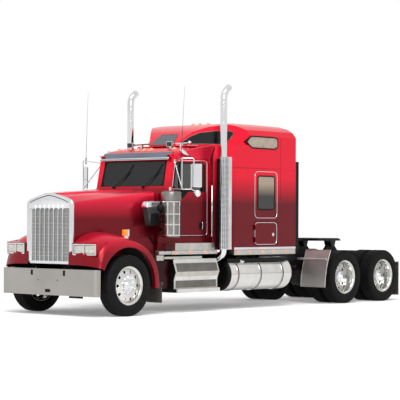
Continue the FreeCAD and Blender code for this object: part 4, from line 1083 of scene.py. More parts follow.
@dataclass
class Nose:
    """Hood with both fenders in one shell, and what is fixed on it."""

    front: float = -0.700
    rear: float = 1.055
    wheel: Point = (0.0, 0.525)
    arch: float = 0.655
    nose: float = -0.7745
    edge: tuple[Point, ...] = ((-0.768, 0.872), (-0.772, 0.950), (-0.758, 1.100), (-0.715, 1.220),
                               (-0.620, 1.320), (-0.480, 1.392),
                   (-0.300, 1.438), (-0.120, 1.430), (0.050, 1.392), (0.220, 1.340), (0.400, 1.255),
                               (0.570, 1.120),
                   (0.700, 0.945), (0.772, 0.780), (0.803, 0.600), (0.812, 0.455))
    lamp: Point = (0.600, 1.106, 1.048, 1.238)
    lamp_y: float = -0.769
    lamp_slant: float = 0.105

    def section(self, y: float) -> list[Point]:
        """One cross section of the hood, from the left foot over the raised middle panel.

        Args:
            y: place behind the front axle.

        Returns:
            The section's points.
        """
        t = (y - self.front) / (self.rear - self.front)
        h = 0.556 + 0.243 * t
        shoulder = 1.950 + 0.200 * t
        crown = 2.108 + 0.078 * t
        rise = 0.028 * min(1.0, 4 * t)
        flat = max(0.0, 1 - 3 * t)
        half = [(h, 1.012), (h, 1.30), (h, 1.60), (h, shoulder - 0.150), (h - 0.002, shoulder - 0.075),
                (h - 0.010, shoulder - 0.040), (h - 0.026, shoulder - 0.014), (h - 0.055, shoulder + 0.003),
                (h - 0.10, shoulder + 0.016),
                (h * 0.72, shoulder + (crown - shoulder) * (0.45 - 0.06 * flat)),
                (h * 0.56, shoulder + (crown - shoulder) * (0.74 - 0.12 * flat)),
                (h * 0.42, crown - 0.022 - 0.022 * flat), (h * 0.36, crown - 0.018 - 0.018 * flat),
                (h * 0.345, crown - 0.018 * (1 + flat) + rise * 0.8), (h * 0.31, crown - 0.006 + rise * 0.6),
                (h * 0.15, crown - 0.002 + rise * 0.2), (0.0, crown)]
        return [(x, y, z) for x, z in half] + [(-x, y, z) for x, z in reversed(half[:-1])]

    def reach(self, angle: float) -> float:
        """Distance from the wheel's centre to the fender's outline along a ray.

        Args:
            angle: the ray's angle from the rear, towards the top.

        Returns:
            The distance.
        """
        c, s = math.cos(angle), math.sin(angle)
        best = 0.82
        for (y0, z0), (y1, z1) in zip(self.edge, self.edge[1:]):
            a0, b0, a1, b1 = y0 - self.wheel[0], z0 - self.wheel[1], y1 - self.wheel[0], z1 - self.wheel[1]
            det = c * (b1 - b0) - s * (a1 - a0)
            r, t = (a0 * (b1 - b0) - b0 * (a1 - a0)) / det, (s * a0 - c * b0) / det
            if -1e-6 <= t <= 1 + 1e-6 and r > 0:
                best = r
        return best

    def fender(self) -> Form:
        """The left fender: crowned top, rounded shoulder, side and rolled arch lip.

        Returns:
            Its form.
        """
        first, last = math.atan2(0.347, -0.768), math.atan2(-0.070, 0.812)
        count = 44
        angles = [first + (last - first) * i / count for i in range(count + 1)]
        raw = [self.reach(a) for a in angles]
        lip = self.arch + 0.001
        shoulder = ((0.505, 0.0), (0.70, 0.0), (0.79, 0.03), (0.87, 0.10), (0.94, 0.20), (1.01, 0.33),
                    (1.07, 0.48), (1.12, 0.64), (1.16, 0.82), (1.185, 1.0))
        rows = []
        for i, angle in enumerate(angles):
            near = raw[max(i - 1, 0) : i + 2]
            r = sum(near) / len(near)
            ahead = min(max((math.degrees(angle) - 35) / 75, 0.0), 1.0)
            drop = (r - lip) * (0.22 + 0.40 * ahead)
            row = [(x, r - d * drop) for x, d in shoulder]
            sides = ((0.75, 1.1925), (0.5, 1.1965), (0.25, 1.199), (0.10, 1.1998))
            row += [(x, lip + (r - drop - lip) * share) for share, x in sides]
            row += [(1.1985, lip + 0.002), (1.192, lip), (1.165, lip), (1.135, lip + 0.002)]
            c, s = math.cos(angle), math.sin(angle)
            rows.append([(x, max(self.wheel[0] + rho * c, self.nose), self.wheel[1] + rho * s)
                         for x, rho in row])
        return Form().loft(rows, ring=False)

    def liner(self) -> Form:
        """Dark inner wheelhouse of the left fender.

        Returns:
            Its form.
        """
        rows = []
        for i in range(25):
            angle = math.radians(-3 + 158 * i / 24)
            y, z = (self.arch + 0.004) * math.cos(angle), 0.525 + (self.arch + 0.004) * math.sin(angle)
            rows.append([(x, y, z) for x in (0.50, 0.80, 1.137)])
        return Form().loft(rows, ring=False)

    def lamp_place(self, x: float, z: float, depth: float) -> Point:
        """A point at a depth behind the headlamps' slanted front."""
        return (x, self.lamp_y + (x - self.lamp[0]) * self.lamp_slant + depth, z)

    def headlamps(self) -> None:
        """Painted pods with bright bezels, black frames round the bezels as painted shadow, two square lamps
        each, and the turn lamps on the fenders.
        """
        x0, x1, z0, z1 = self.lamp

        def rect(grow: float, left: float = x0, right: float = x1) -> list[Point]:
            """The lamp's outline grown by a distance."""
            return [(left - grow, z0 - grow), (right + grow, z0 - grow), (right + grow, z1 + grow),
                    (left - grow, z1 + grow)]

        pod = Form()
        rows = [[self.lamp_place(x, z, 0.016) for x, z in rect(0.013)],
                [(x, -0.585, z) for x, z in ((0.57, 1.10), (1.09, 1.10), (1.09, 1.268), (0.57, 1.268))]]
        pod.loft(rows)
        for x, y in ((1.06, -0.715), (1.118, -0.712)):
            rows.append([(x, y, 1.045), (x, y, 1.252), (x + 0.008, -0.44, 1.292)])
        pod.loft(rows[2:])
        pods = pod.both().piece("headlamp_pods", FENDER_SHADED_PAINT, "hood", bevel=0.006, angle=30)
        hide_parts("front_lamps")
        # A black frame just behind each bezel: painted shadow round the lamp.
        shade = Form().pane(rounded_loop(rect(0.008), 0.02), self.lamp_place, 0.006, 0.03)
        shade.both().piece("headlamp_shadow_frames", BLACK, "hood")
        bezel = Form().band(rounded_loop(rect(0.0), 0.02), rounded_loop(rect(-0.020), 0.015), self.lamp_place,
                            0.012, 0.0)
        bezel.box((0.842, -0.748, z0 + 0.015), (0.858, -0.735, z1 - 0.015))
        bezel.both().piece("headlamp_bezels", CHROME, "hood", angle=40)
        glass = Form()
        for left, right in ((x0 + 0.026, 0.838), (0.862, x1 - 0.026)):
            outline = rounded_loop(rect(-0.028, left - 0.028, right + 0.028), 0.015)
            middle = (sum(p[0] for p in outline) / len(outline), sum(p[1] for p in outline) / len(outline))
            rows = []
            for share, depth in ((1.0, 0.016), (1.0, 0.006), (0.94, 0.001), (0.6, -0.0025)):
                rows.append([self.lamp_place(middle[0] + (x - middle[0]) * share,
                                             middle[1] + (z - middle[1]) * share, depth)
                             for x, z in outline])
            glass.loft(rows)
        glass.both().piece("headlamp_lenses", CLEAR, "hood", angle=40)
        turn = Form().box((1.012, 0.006, 1.374), (1.073, 0.100, 1.484))
        turn.both().piece("turn_lamps", AMBER, "hood", bevel=0.010)
        foot = Form().box((1.014, 0.100, 1.366), (1.071, 0.136, 1.486))
        foot.box((1.022, 0.02, 1.325), (1.062, 0.12, 1.376))
        foot.both().piece("turn_lamp_feet", CHROME, "hood", bevel=0.006)

    def build(self) -> None:
        """Make the hood, the fenders, the liners and the lamps."""
        rows = [self.section(self.front + (self.rear - self.front) * i / 14) for i in range(15)]
        shell = Form().loft(rows, ring=False)
        inner = [(p[0] * 0.985, p[1] + 0.004, 1.012 + (p[2] - 1.012) * 0.992) for p in rows[0]]
        shell.loft([rows[0], inner], ring=False)
        hood = shell.piece("hood_top", HOOD_SHADED_PAINT, "hood", angle=40)
        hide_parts("hood")
        self.fender().both().piece("fenders", FENDER_SHADED_PAINT, "hood", angle=50)
        self.liner().both().piece("fender_liners", RUBBER, "hood", angle=60)
        side = Form()
        for y0, y1 in ((-0.70, -0.05), (-0.05, 0.62)):
            rows = [[(0.557 + 0.138 * (y + 0.7), y, z) for z in (1.02, 1.20, 1.36)]
                    for y in (y0, (y0 + y1) / 2, y1)]
            side.loft(rows, ring=False)
        side.both().piece("hood_side_panels", HOOD_SHADED_PAINT, "hood", angle=60)
        self.headlamps()
        strap = Form().tube([(0.812, 0.940, 1.352), (0.818, 0.985, 1.31), (0.826, 1.035, 1.225)], 0.014, 8)
        strap.both().piece("hood_straps", RUBBER, "hood")


@dataclass
class Bumper:
    """Broad bumper with its tow hooks behind dark slots, and bolts."""

    front: float = -0.775
    half: float = 1.154

    def build(self, nodes: dict) -> None:
        """Dress the CAD bumper and add its bolts, hooks and black plates behind its slots as painted shade.

        Args:
            nodes: the CAD nodes.
        """
        dressed(nodes["front_bumper"], BUMPER, bevel=0.007, angle=30)
        # The black plates behind the slots are painted shade.
        bolts, hooks, slot_shade = Form(), Form(), Form()
        profile = [(self.front - 0.0001, 0.0), (self.front - 0.0001, 0.012), (self.front + 0.003, 0.014)]
        for x in (-0.24, 0.24):
            bolts.turned(profile, (x, 0, 0.61), Axis.Y, 16)
        for x in (-0.40, 0.40):
            hooks.tube(rounded_path([(x, -0.66, 0.755), (x, -0.752, 0.755), (x, -0.752, 0.715),
                                     (x, -0.66, 0.715)], 0.02), 0.011)
            slot_shade.box((x - 0.036, -0.7665, 0.682), (x + 0.036, -0.7635, 0.788))
        slot_shade.box((-0.073, -0.7665, 0.392), (0.073, -0.7635, 0.463))
        hooks.piece("tow_hooks", BLACK)
        slot_shade.piece("bumper_slot_shade", BLACK)
        bolts.piece("bumper_bolts", BLACK)


# Cab


@dataclass
class Cab:
    """Cab shell, doors and everything fixed to them."""

    front: float = 1.070
    rear: float = 2.400
    front_half: float = 0.870
    rear_half: float = 0.990
    horn_x: float = 0.494

    def half_at(self, y: float) -> float:
        """Half width of the cab at a distance behind the front axle."""
        part = (y - self.front) / (self.rear - self.front)
        return self.front_half + part * (self.rear_half - self.front_half)

    def skin(self, y: float, z: float, out: float = 0.0) -> Point:
        """A point on the cab's left side, moved out by a distance."""
        return (self.half_at(y) + out, y, z)

    def screen(self, x: float, z: float, out: float = 0.0) -> Point:
        """A point on the windscreen's plane, moved out by a distance."""
        return (x, 1.312 + (z - 2.230) * 0.115 / 0.515 - out, z)

    def build(self, nodes: dict) -> None:
        """Make the cab's pieces.

        Args:
            nodes: the CAD nodes.
        """
        dressed(nodes["cab_shell"], PAINT, bevel=0.010, angle=24)
        dressed(nodes["sun_visor"], VISOR, bevel=0.003)
        lip = Form().slab([(1.3415, 2.7335), (1.3565, 2.7335), (1.3800, 2.7715), (1.3660, 2.7725)], Axis.X,
                          -0.851, 0.851)
        lip.piece("visor_lip", CHROME, bevel=0.002)
        dressed(nodes["cab_boot"], RUBBER, bevel=0.004)
        self.windscreen()
        self.roof(nodes)
        for side in SIDES:
            self.door(nodes, side)
            self.mirror(side)
            self.flare(side)
        self.antennas()

    def flare(self, side: Side) -> None:
        """The cab roof's flared rear shoulder, and a black bar along its gap to the sleeper as painted shade.

        Args:
            side: which side.
        """
        lip = smooth_line([(0.880, 1.36, 2.812), (0.915, 1.73, 2.888), (0.985, 2.10, 2.968),
                           (1.035, 2.33, 3.004), (1.052, 2.385, 2.995)], 5)
        foot = smooth_line([(0.870, 1.40, 2.770), (0.895, 1.70, 2.765), (0.915, 2.00, 2.760),
                            (0.945, 2.26, 2.758), (0.972, 2.372, 2.760)], 5)
        rows = []
        for top, low in zip(lip, foot):
            x, y, z = (a * 0.45 + b * 0.55 for a, b in zip(top, low))
            bend = (x - 0.018, y, z + 0.012)
            rows.append([low, bend, top, (top[0] - 0.012, top[1], top[2] + 0.010),
                         (top[0] - 0.10, top[1], top[2] + 0.004), (low[0] - 0.08, low[1], low[2] + 0.03)])
        word = side.value
        Form().loft(rows).for_side(side).piece("cab_flare_" + word, HOOD_SHADED_PAINT, angle=50)
        # A black bar down the gap between cab and sleeper: painted shade.
        gap = Form().tube([(1.040, 2.398, 2.985), (1.005, 2.398, 2.87), (0.985, 2.405, 2.76),
                           (0.985, 2.405, 1.40)], 0.012, 8)
        gap.for_side(side).piece("cab_gap_shade_" + word, RUBBER)

    def windscreen(self) -> None:
        """Rubber frame, an opaque tinted pane with the dim cab inside painted on it as shade, and two wipers.
        """
        outer = rounded_loop([(0.808, 2.222), (0.800, 2.748), (-0.800, 2.748), (-0.808, 2.222)], 0.13)
        inner = rounded_loop([(0.742, 2.262), (0.742, 2.716), (-0.742, 2.716), (-0.742, 2.262)], 0.10)
        Form().band(outer, inner, self.screen, -0.006, 0.007).piece("windscreen_rubber", RUBBER, angle=40)
        Form().pane(inner, self.screen, 0.0, 0.003).piece("windscreen_tint_and_shade", BLACK_GLASS)
        wipers = Form()
        for x, tip in ((0.32, 0.62), (-0.42, -0.10)):
            base, end = self.screen(x, 2.238, 0.045), self.screen(tip, 2.52, 0.03)
            wipers.tube([base, end], 0.006, 6)
            a, b = self.screen(tip - 0.10, 2.39, 0.018), self.screen(tip + 0.06, 2.66, 0.018)
            wipers.tube([a, b], 0.007, 6)
            wipers.turned([(-0.03, 0.0), (-0.03, 0.016), (0.02, 0.018), (0.02, 0.0)], base, Axis.Y, 12)
        wipers.piece("wipers", BLACK)

    def roof(self, nodes: dict) -> None:
        """Horns, side lamps and marker lamps on the roof.

        Args:
            nodes: the CAD nodes; not used.
        """
        horn, mouth = Form(), Form()
        x = self.horn_x
        tilt = Matrix.Translation((x, 1.768, 3.030)) @ Matrix.Rotation(0.085, 4, "X")
        rows = []
        for along, half, tall in ((0.0, 0.072, 0.050), (0.010, 0.072, 0.050), (0.045, 0.055, 0.040),
                                  (0.10, 0.022, 0.020), (0.16, 0.013, 0.013), (0.53, 0.011, 0.011)):
            corners = [(half, -tall), (half, tall), (-half, tall), (-half, -tall)]
            rows.append([(a, along, b) for a, b in rounded_loop(corners, half * 0.3)])
        horn.loft(rows)
        turns = [math.pi * k / 12 for k in range(13)]
        ball = [(0.522 + 0.042 * (1 - math.cos(a)), 0.042 * math.sin(a)) for a in turns]
        bell = horn.turned(ball, (0, 0, 0), Axis.Y, 24).moved(tilt)
        bell.box((x - 0.02, 2.08, 2.978), (x + 0.02, 2.12, 3.05))
        bell.box((x - 0.02, 1.80, 2.944), (x + 0.02, 1.82, 3.00))
        mouth.box((-0.062, -0.0015, -0.041), (0.062, 0.006, 0.041))
        mouth.moved(tilt).both().piece("horn_mouths", SMOKE)
        horns = bell.both().piece("horn_trumpets", CHROME, angle=40)
        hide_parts("roof_horns")
        drop = []
        for y, r in ((1.612, 0.012), (1.622, 0.032), (1.645, 0.044), (1.69, 0.047), (1.75, 0.038),
                     (1.82, 0.020), (1.885, 0.003)):
            drop.append([(0.905 + 0.05 * (y - 1.61) + r * math.cos(a), y,
                          2.905 - 0.42 * (y - 1.61) + r * math.sin(a))
                         for a in (2 * math.pi * k / 20 for k in range(20))])
        Form().loft(drop).both().piece("side_lamps", CHROME)
        lamps, feet = Form(), Form()
        slope = 0.19
        spans = ((0.0, 0.012, 0.010), (0.012, 0.030, 0.030), (0.030, 0.040, 0.041), (0.055, 0.034, 0.034),
                 (0.085, 0.020, 0.018), (0.110, 0.006, 0.005))
        for x, y in ((-0.69, 1.655), (-0.17, 1.61), (0.0, 1.605), (0.17, 1.61), (0.69, 1.655)):
            z = 2.915 + (y - 1.59) * slope
            lamps.loft(marker((x, y, z), slope, spans))
            feet.box((x - 0.042, y - 0.004, z - 0.006), (x + 0.042, y + 0.10, z + 0.012))
        markers = lamps.piece("roof_marker_lenses", AMBER, angle=60)
        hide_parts("marker_lamps")
        feet.piece("roof_marker_feet", CHROME, bevel=0.004)

    def door(self, nodes: dict, side: Side) -> None:
        """One door: skin, window rubber, handle and bright trim.

        Args:
            nodes: the CAD nodes.
            side: which door.
        """
        word = side.value
        body = word + "_door"
        dressed(nodes["door_" + word], PAINT, bevel=0.006, angle=24)
        carried(nodes["door_glass_" + word], GLASS)
        glass = [(1.452, 2.25), (1.507, 2.66), (2.128, 2.67), (2.182, 2.62), (2.187, 2.195), (1.80, 2.195),
                 (1.66, 2.195), (1.53, 2.195)]
        outer = [(1.425, 2.215), (1.490, 2.690), (2.145, 2.700), (2.214, 2.640), (2.218, 2.165),
                 (1.80, 2.160), (1.665, 2.035), (1.56, 2.060)]

        gasket = Form().band(rounded_loop(outer, 0.03), rounded_loop(glass, 0.03), self.skin, -0.006, 0.006)
        gasket.for_side(side).piece("door_rubber_" + word, RUBBER, body, angle=40)
        recess = rounded_loop([(2.072, 1.470), (2.150, 1.470), (2.150, 1.622), (2.072, 1.622)], 0.038)
        Form().pane(recess, self.skin, -0.006, 0.003).for_side(side).piece("door_recess_" + word, BLACK, body)
        handle = Form().tube(rounded_path([self.skin(2.128, 1.492), self.skin(2.128, 1.492, 0.030),
                                           self.skin(2.128, 1.605, 0.030),
                                           self.skin(2.128, 1.605)], 0.02), 0.011, 10)
        handle.for_side(side).piece("door_handle_" + word, CHROME, body)
        edge = [(1.412, 2.245), (1.474, 2.722), (2.262, 2.728), (2.268, 1.372), (1.31, 1.372)]
        trim = Form().tube(rounded_path([self.skin(y, z, 0.003) for y, z in edge], 0.07), 0.0065, 8)
        trim.for_side(side).piece("door_trim_" + word, CHROME, body)
        vent = Form().tube([self.skin(1.60, 2.20, 0.001), self.skin(1.60, 2.66, -0.012)], 0.009, 8)
        vent.for_side(side).piece("vent_bar_" + word, RUBBER, body)

    def mirror(self, side: Side) -> None:
        """One mirror: bright tubes, a flat head and a round convex glass below it.

        Args:
            side: which door it is on.
        """
        word = side.value
        body = word + "_door"
        upper, lower = self.skin(1.463, 2.70), self.skin(1.35, 2.205)
        tubes = Form()
        tubes.tube(rounded_path([upper, (1.239, 1.291, 2.745), (1.389, 1.439, 2.745), (1.389, 1.439, 2.64)],
                                0.035), 0.0105, 12)
        tubes.tube([(1.239, 1.291, 2.742), (1.239, 1.291, 2.192)], 0.0105, 12)
        tubes.tube([upper, (1.239, 1.291, 2.215)], 0.0095, 10)
        tubes.tube(rounded_path([lower, (1.239, 1.291, 2.195), (1.350, 1.410, 2.195), (1.350, 1.410, 2.64)],
                                0.03), 0.0095, 10)
        for foot in (upper, lower):
            tubes.box((foot[0] - 0.010, foot[1] - 0.03, foot[2] - 0.03),
                      (foot[0] + 0.012, foot[1] + 0.03, foot[2] + 0.03))
        made = tubes.for_side(side).piece("mirror_tubes_" + word, CHROME, body)
        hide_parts("mirror_" + word)
        spin = Matrix.Rotation(math.radians(25), 4, "Z")
        turn = Matrix.Translation((1.385, 1.530, 0)) @ spin
        head = Form().box((-0.094, -0.037, 2.228), (0.094, -0.004, 2.648)).moved(turn)
        head.for_side(side).piece("mirror_head_" + word, CHROME, body, bevel=0.014)
        glass = Form().box((-0.082, -0.004, 2.243), (0.082, -0.001, 2.633)).moved(turn)
        glass.for_side(side).piece("mirror_glass_" + word, CHROME, body, bevel=0.001)
        turns = [math.pi * k / 20 for k in range(11)]
        dome = [(-0.045 * math.cos(a), 0.066 * math.sin(a)) for a in turns] + [(0.004, 0.066), (0.006, 0.0)]
        bowl = Form().turned(dome, (0, 0, 0), Axis.Y, 32)
        bowl = bowl.moved(Matrix.Translation((1.415, 1.495, 2.122)) @ spin)
        bowl.tube([(1.352, 1.412, 2.195), (1.412, 1.488, 2.150)], 0.010, 8)
        bowl.tube([(1.36, 1.45, 2.40), (1.385, 1.505, 2.40)], 0.010, 8)
        bowl.for_side(side).piece("mirror_round_" + word, CHROME, body)

    def antennas(self) -> None:
        """Two whip antennas on the mirror arms."""
        for side in SIDES:
            whip = Form().tube([(1.19, 1.318, 2.72), (1.20, 1.345, 3.30), (1.210, 1.385, 4.02)], 0.0045, 6,
                               taper=0.35)
            whip.tube([(1.19, 1.318, 2.68), (1.19, 1.318, 2.80)], 0.010, 8)
            whip.for_side(side).piece("antenna_" + side.value, BLACK, side.value + "_door")


# Sleeper


@dataclass
class Sleeper:
    """Sleeper box with a raised roof, side windows and baggage doors."""

    half: float = 1.200
    rear: float = 4.620

    def wall(self, y: float, z: float, out: float) -> Point:
        """A point on the left side wall, moved out by a distance."""
        return (self.half + out, y, z)

    def build(self, nodes: dict) -> None:
        """Make the sleeper's pieces.

        Args:
            nodes: the CAD nodes.
        """
        dressed(nodes["sleeper_shell"], PAINT, bevel=0.022, angle=20)
        dressed(nodes["side_extenders"], RUBBER, bevel=0.006)
        for side in SIDES:
            word = side.value
            dressed(nodes["baggage_door_" + word], PAINT, bevel=0.006, angle=24)
            rim = rounded_loop([(3.384, 1.200), (4.038, 1.200), (4.038, 1.608), (3.384, 1.608)], 0.09)
            ring = Form().rim(rim, self.wall, -0.001, 0.006)
            ring.for_side(side).piece("baggage_trim_" + word, CHROME, word + "_baggage_door")
            latch = Form().turned([(self.half - 0.002, 0.0), (self.half - 0.002, 0.030),
                                   (self.half + 0.004, 0.032), (self.half + 0.008, 0.026),
                                   (self.half + 0.009, 0.0)], (0, 3.925, 1.385),
                                  Axis.X, 32)
            latch.for_side(side).piece("baggage_latch_" + word, CHROME, word + "_baggage_door")
            self.windows(side)
        self.nose_windows()
        self.seams()
        self.roof_lamps()

    def nose_windows(self) -> None:
        """Side windows as opaque dark panes, tint with the dim inside painted on as shade, and the sloped
        screen on the raised roof's nose.
        """

        def beside(y: float, z: float, out: float) -> Point:
            """A point on the nose's side facet moved out by a distance."""
            return (0.363 + 0.8164 * (y - 2.170) + 0.7746 * out, y - 0.6324 * out, z)

        def ahead(x: float, y: float, out: float) -> Point:
            """A point on the nose's front facet moved out by a distance."""
            return (x, y - 0.661 * out, 1.1893 + 0.88 * y + 0.751 * out)

        outline = [(2.178, 3.056), (2.225, 3.098), (2.345, 3.196), (2.470, 3.262), (2.700, 3.300),
                   (2.925, 3.300), (2.975, 3.262), (2.880, 3.098), (2.815, 3.056)]
        loop = rounded_loop(outline, 0.022)
        screen = rounded_loop([(-0.288, 2.102), (-0.205, 2.330), (0.205, 2.330), (0.288, 2.102)], 0.03)
        Form().pane(loop, beside, -0.002, 0.004).both().piece("nose_windows", BLACK_GLASS)
        Form().pane(screen, ahead, -0.002, 0.004).piece("nose_screen", BLUE_GLASS)
        trims = Form().rim(loop, beside, 0.003, 0.007).both().rim(screen, ahead, 0.003, 0.007)
        trims.piece("nose_trims", STEEL)
        Form().tube([beside(2.14, 3.030, 0.002), beside(2.90, 3.036, 0.002)], 0.007,
                    8).both().piece("nose_strips", CHROME)

    def windows(self, side: Side) -> None:
        """Rubber and bright frames of the side windows, and the blinds that fill them.

        Args:
            side: which side.
        """
        word = side.value
        x = self.half
        lower = [(3.466, 1.855), (3.961, 1.855), (3.961, 2.481), (3.466, 2.481)]
        upper = [(3.129, 3.103), (3.282, 3.001), (3.969, 2.996), (4.054, 3.035), (4.056, 3.196),
                 (3.967, 3.215), (3.250, 3.215)]
        lower, upper = rounded_loop(lower, 0.05), rounded_loop(upper, 0.03)
        frames = Form().rim(lower, self.wall, -0.002, 0.014).rim(upper, self.wall, -0.002, 0.014)
        frames.for_side(side).piece("sleeper_rubber_" + word, RUBBER, angle=60)
        rim = rounded_loop([(3.378, 1.695), (4.044, 1.695), (4.044, 2.562), (3.378, 2.562)], 0.10)
        Form().rim(rim, self.wall, -0.001, 0.006).for_side(side).piece("sleeper_window_trim_" + word, CHROME)
        screws = Form()
        for y, z in ((3.27, 3.185), (3.60, 3.03), (3.97, 3.035), (3.97, 3.175)):
            screws.turned([(x + 0.002, 0.010), (x + 0.006, 0.008), (x + 0.007, 0.0)], (0, y, z), Axis.X, 12)
        screws.for_side(side).piece("sleeper_screws_" + word, SMOKE)
        for loop, finish, name in ((lower, BLIND, "lower"), (upper, VINYL, "upper")):
            blind = Form().pane(loop, self.wall, -0.001, 0.002)
            blind.for_side(side).piece("sleeper_blind_%s_%s" % (name, word), finish)

    def seams(self) -> None:
        """Panel seams with rivets on both sides, and the bright strip at the foot."""
        rivets, rivet = Form(), [(0.0, 0.0035), (0.0016, 0.0028), (0.0021, 0.0)]
        places = [(2.80 + i * 0.0415, z) for i in range(44) for z in (2.612, 2.632)]
        places += [(4.15, 1.16 + i * 0.062) for i in range(30)]
        for y, z in places:
            rivets.turned(rivet, (self.half, y, z), Axis.X, 6)
        rivets.both().piece("sleeper_rivets", DARK_PAINT, angle=60)
        lines = Form().box((self.half - 0.001, 4.148, 2.05), (self.half + 0.0012, 4.153, 3.20))
        lines.box((self.half - 0.001, 2.74, 2.620), (self.half + 0.0012, 4.15, 2.624))
        lines.both().piece("sleeper_seams", DARK_PAINT)
        strips = Form().box((self.half - 0.001, 2.78, 1.108), (self.half + 0.004, self.rear - 0.004, 1.150))
        strips.both().piece("sleeper_foot_strips", CHROME, bevel=0.001)

    def roof_lamps(self) -> None:
        """Five amber lamps along the raised roof's nose."""
        lamps = Form()
        spans = ((0.0, 0.010, 0.008), (0.012, 0.030, 0.024), (0.035, 0.040, 0.030), (0.075, 0.022, 0.016),
                 (0.10, 0.006, 0.004))
        for x, y, z in ((-0.685, 3.319, 3.452), (-0.19, 3.169, 3.468), (0.0, 3.15, 3.468),
                        (0.19, 3.169, 3.468), (0.685, 3.319, 3.452)):
            lamps.loft(marker((x, y, z), 0.0, spans))
        lamps.piece("sleeper_marker_lenses", AMBER, angle=60)


# Side gear


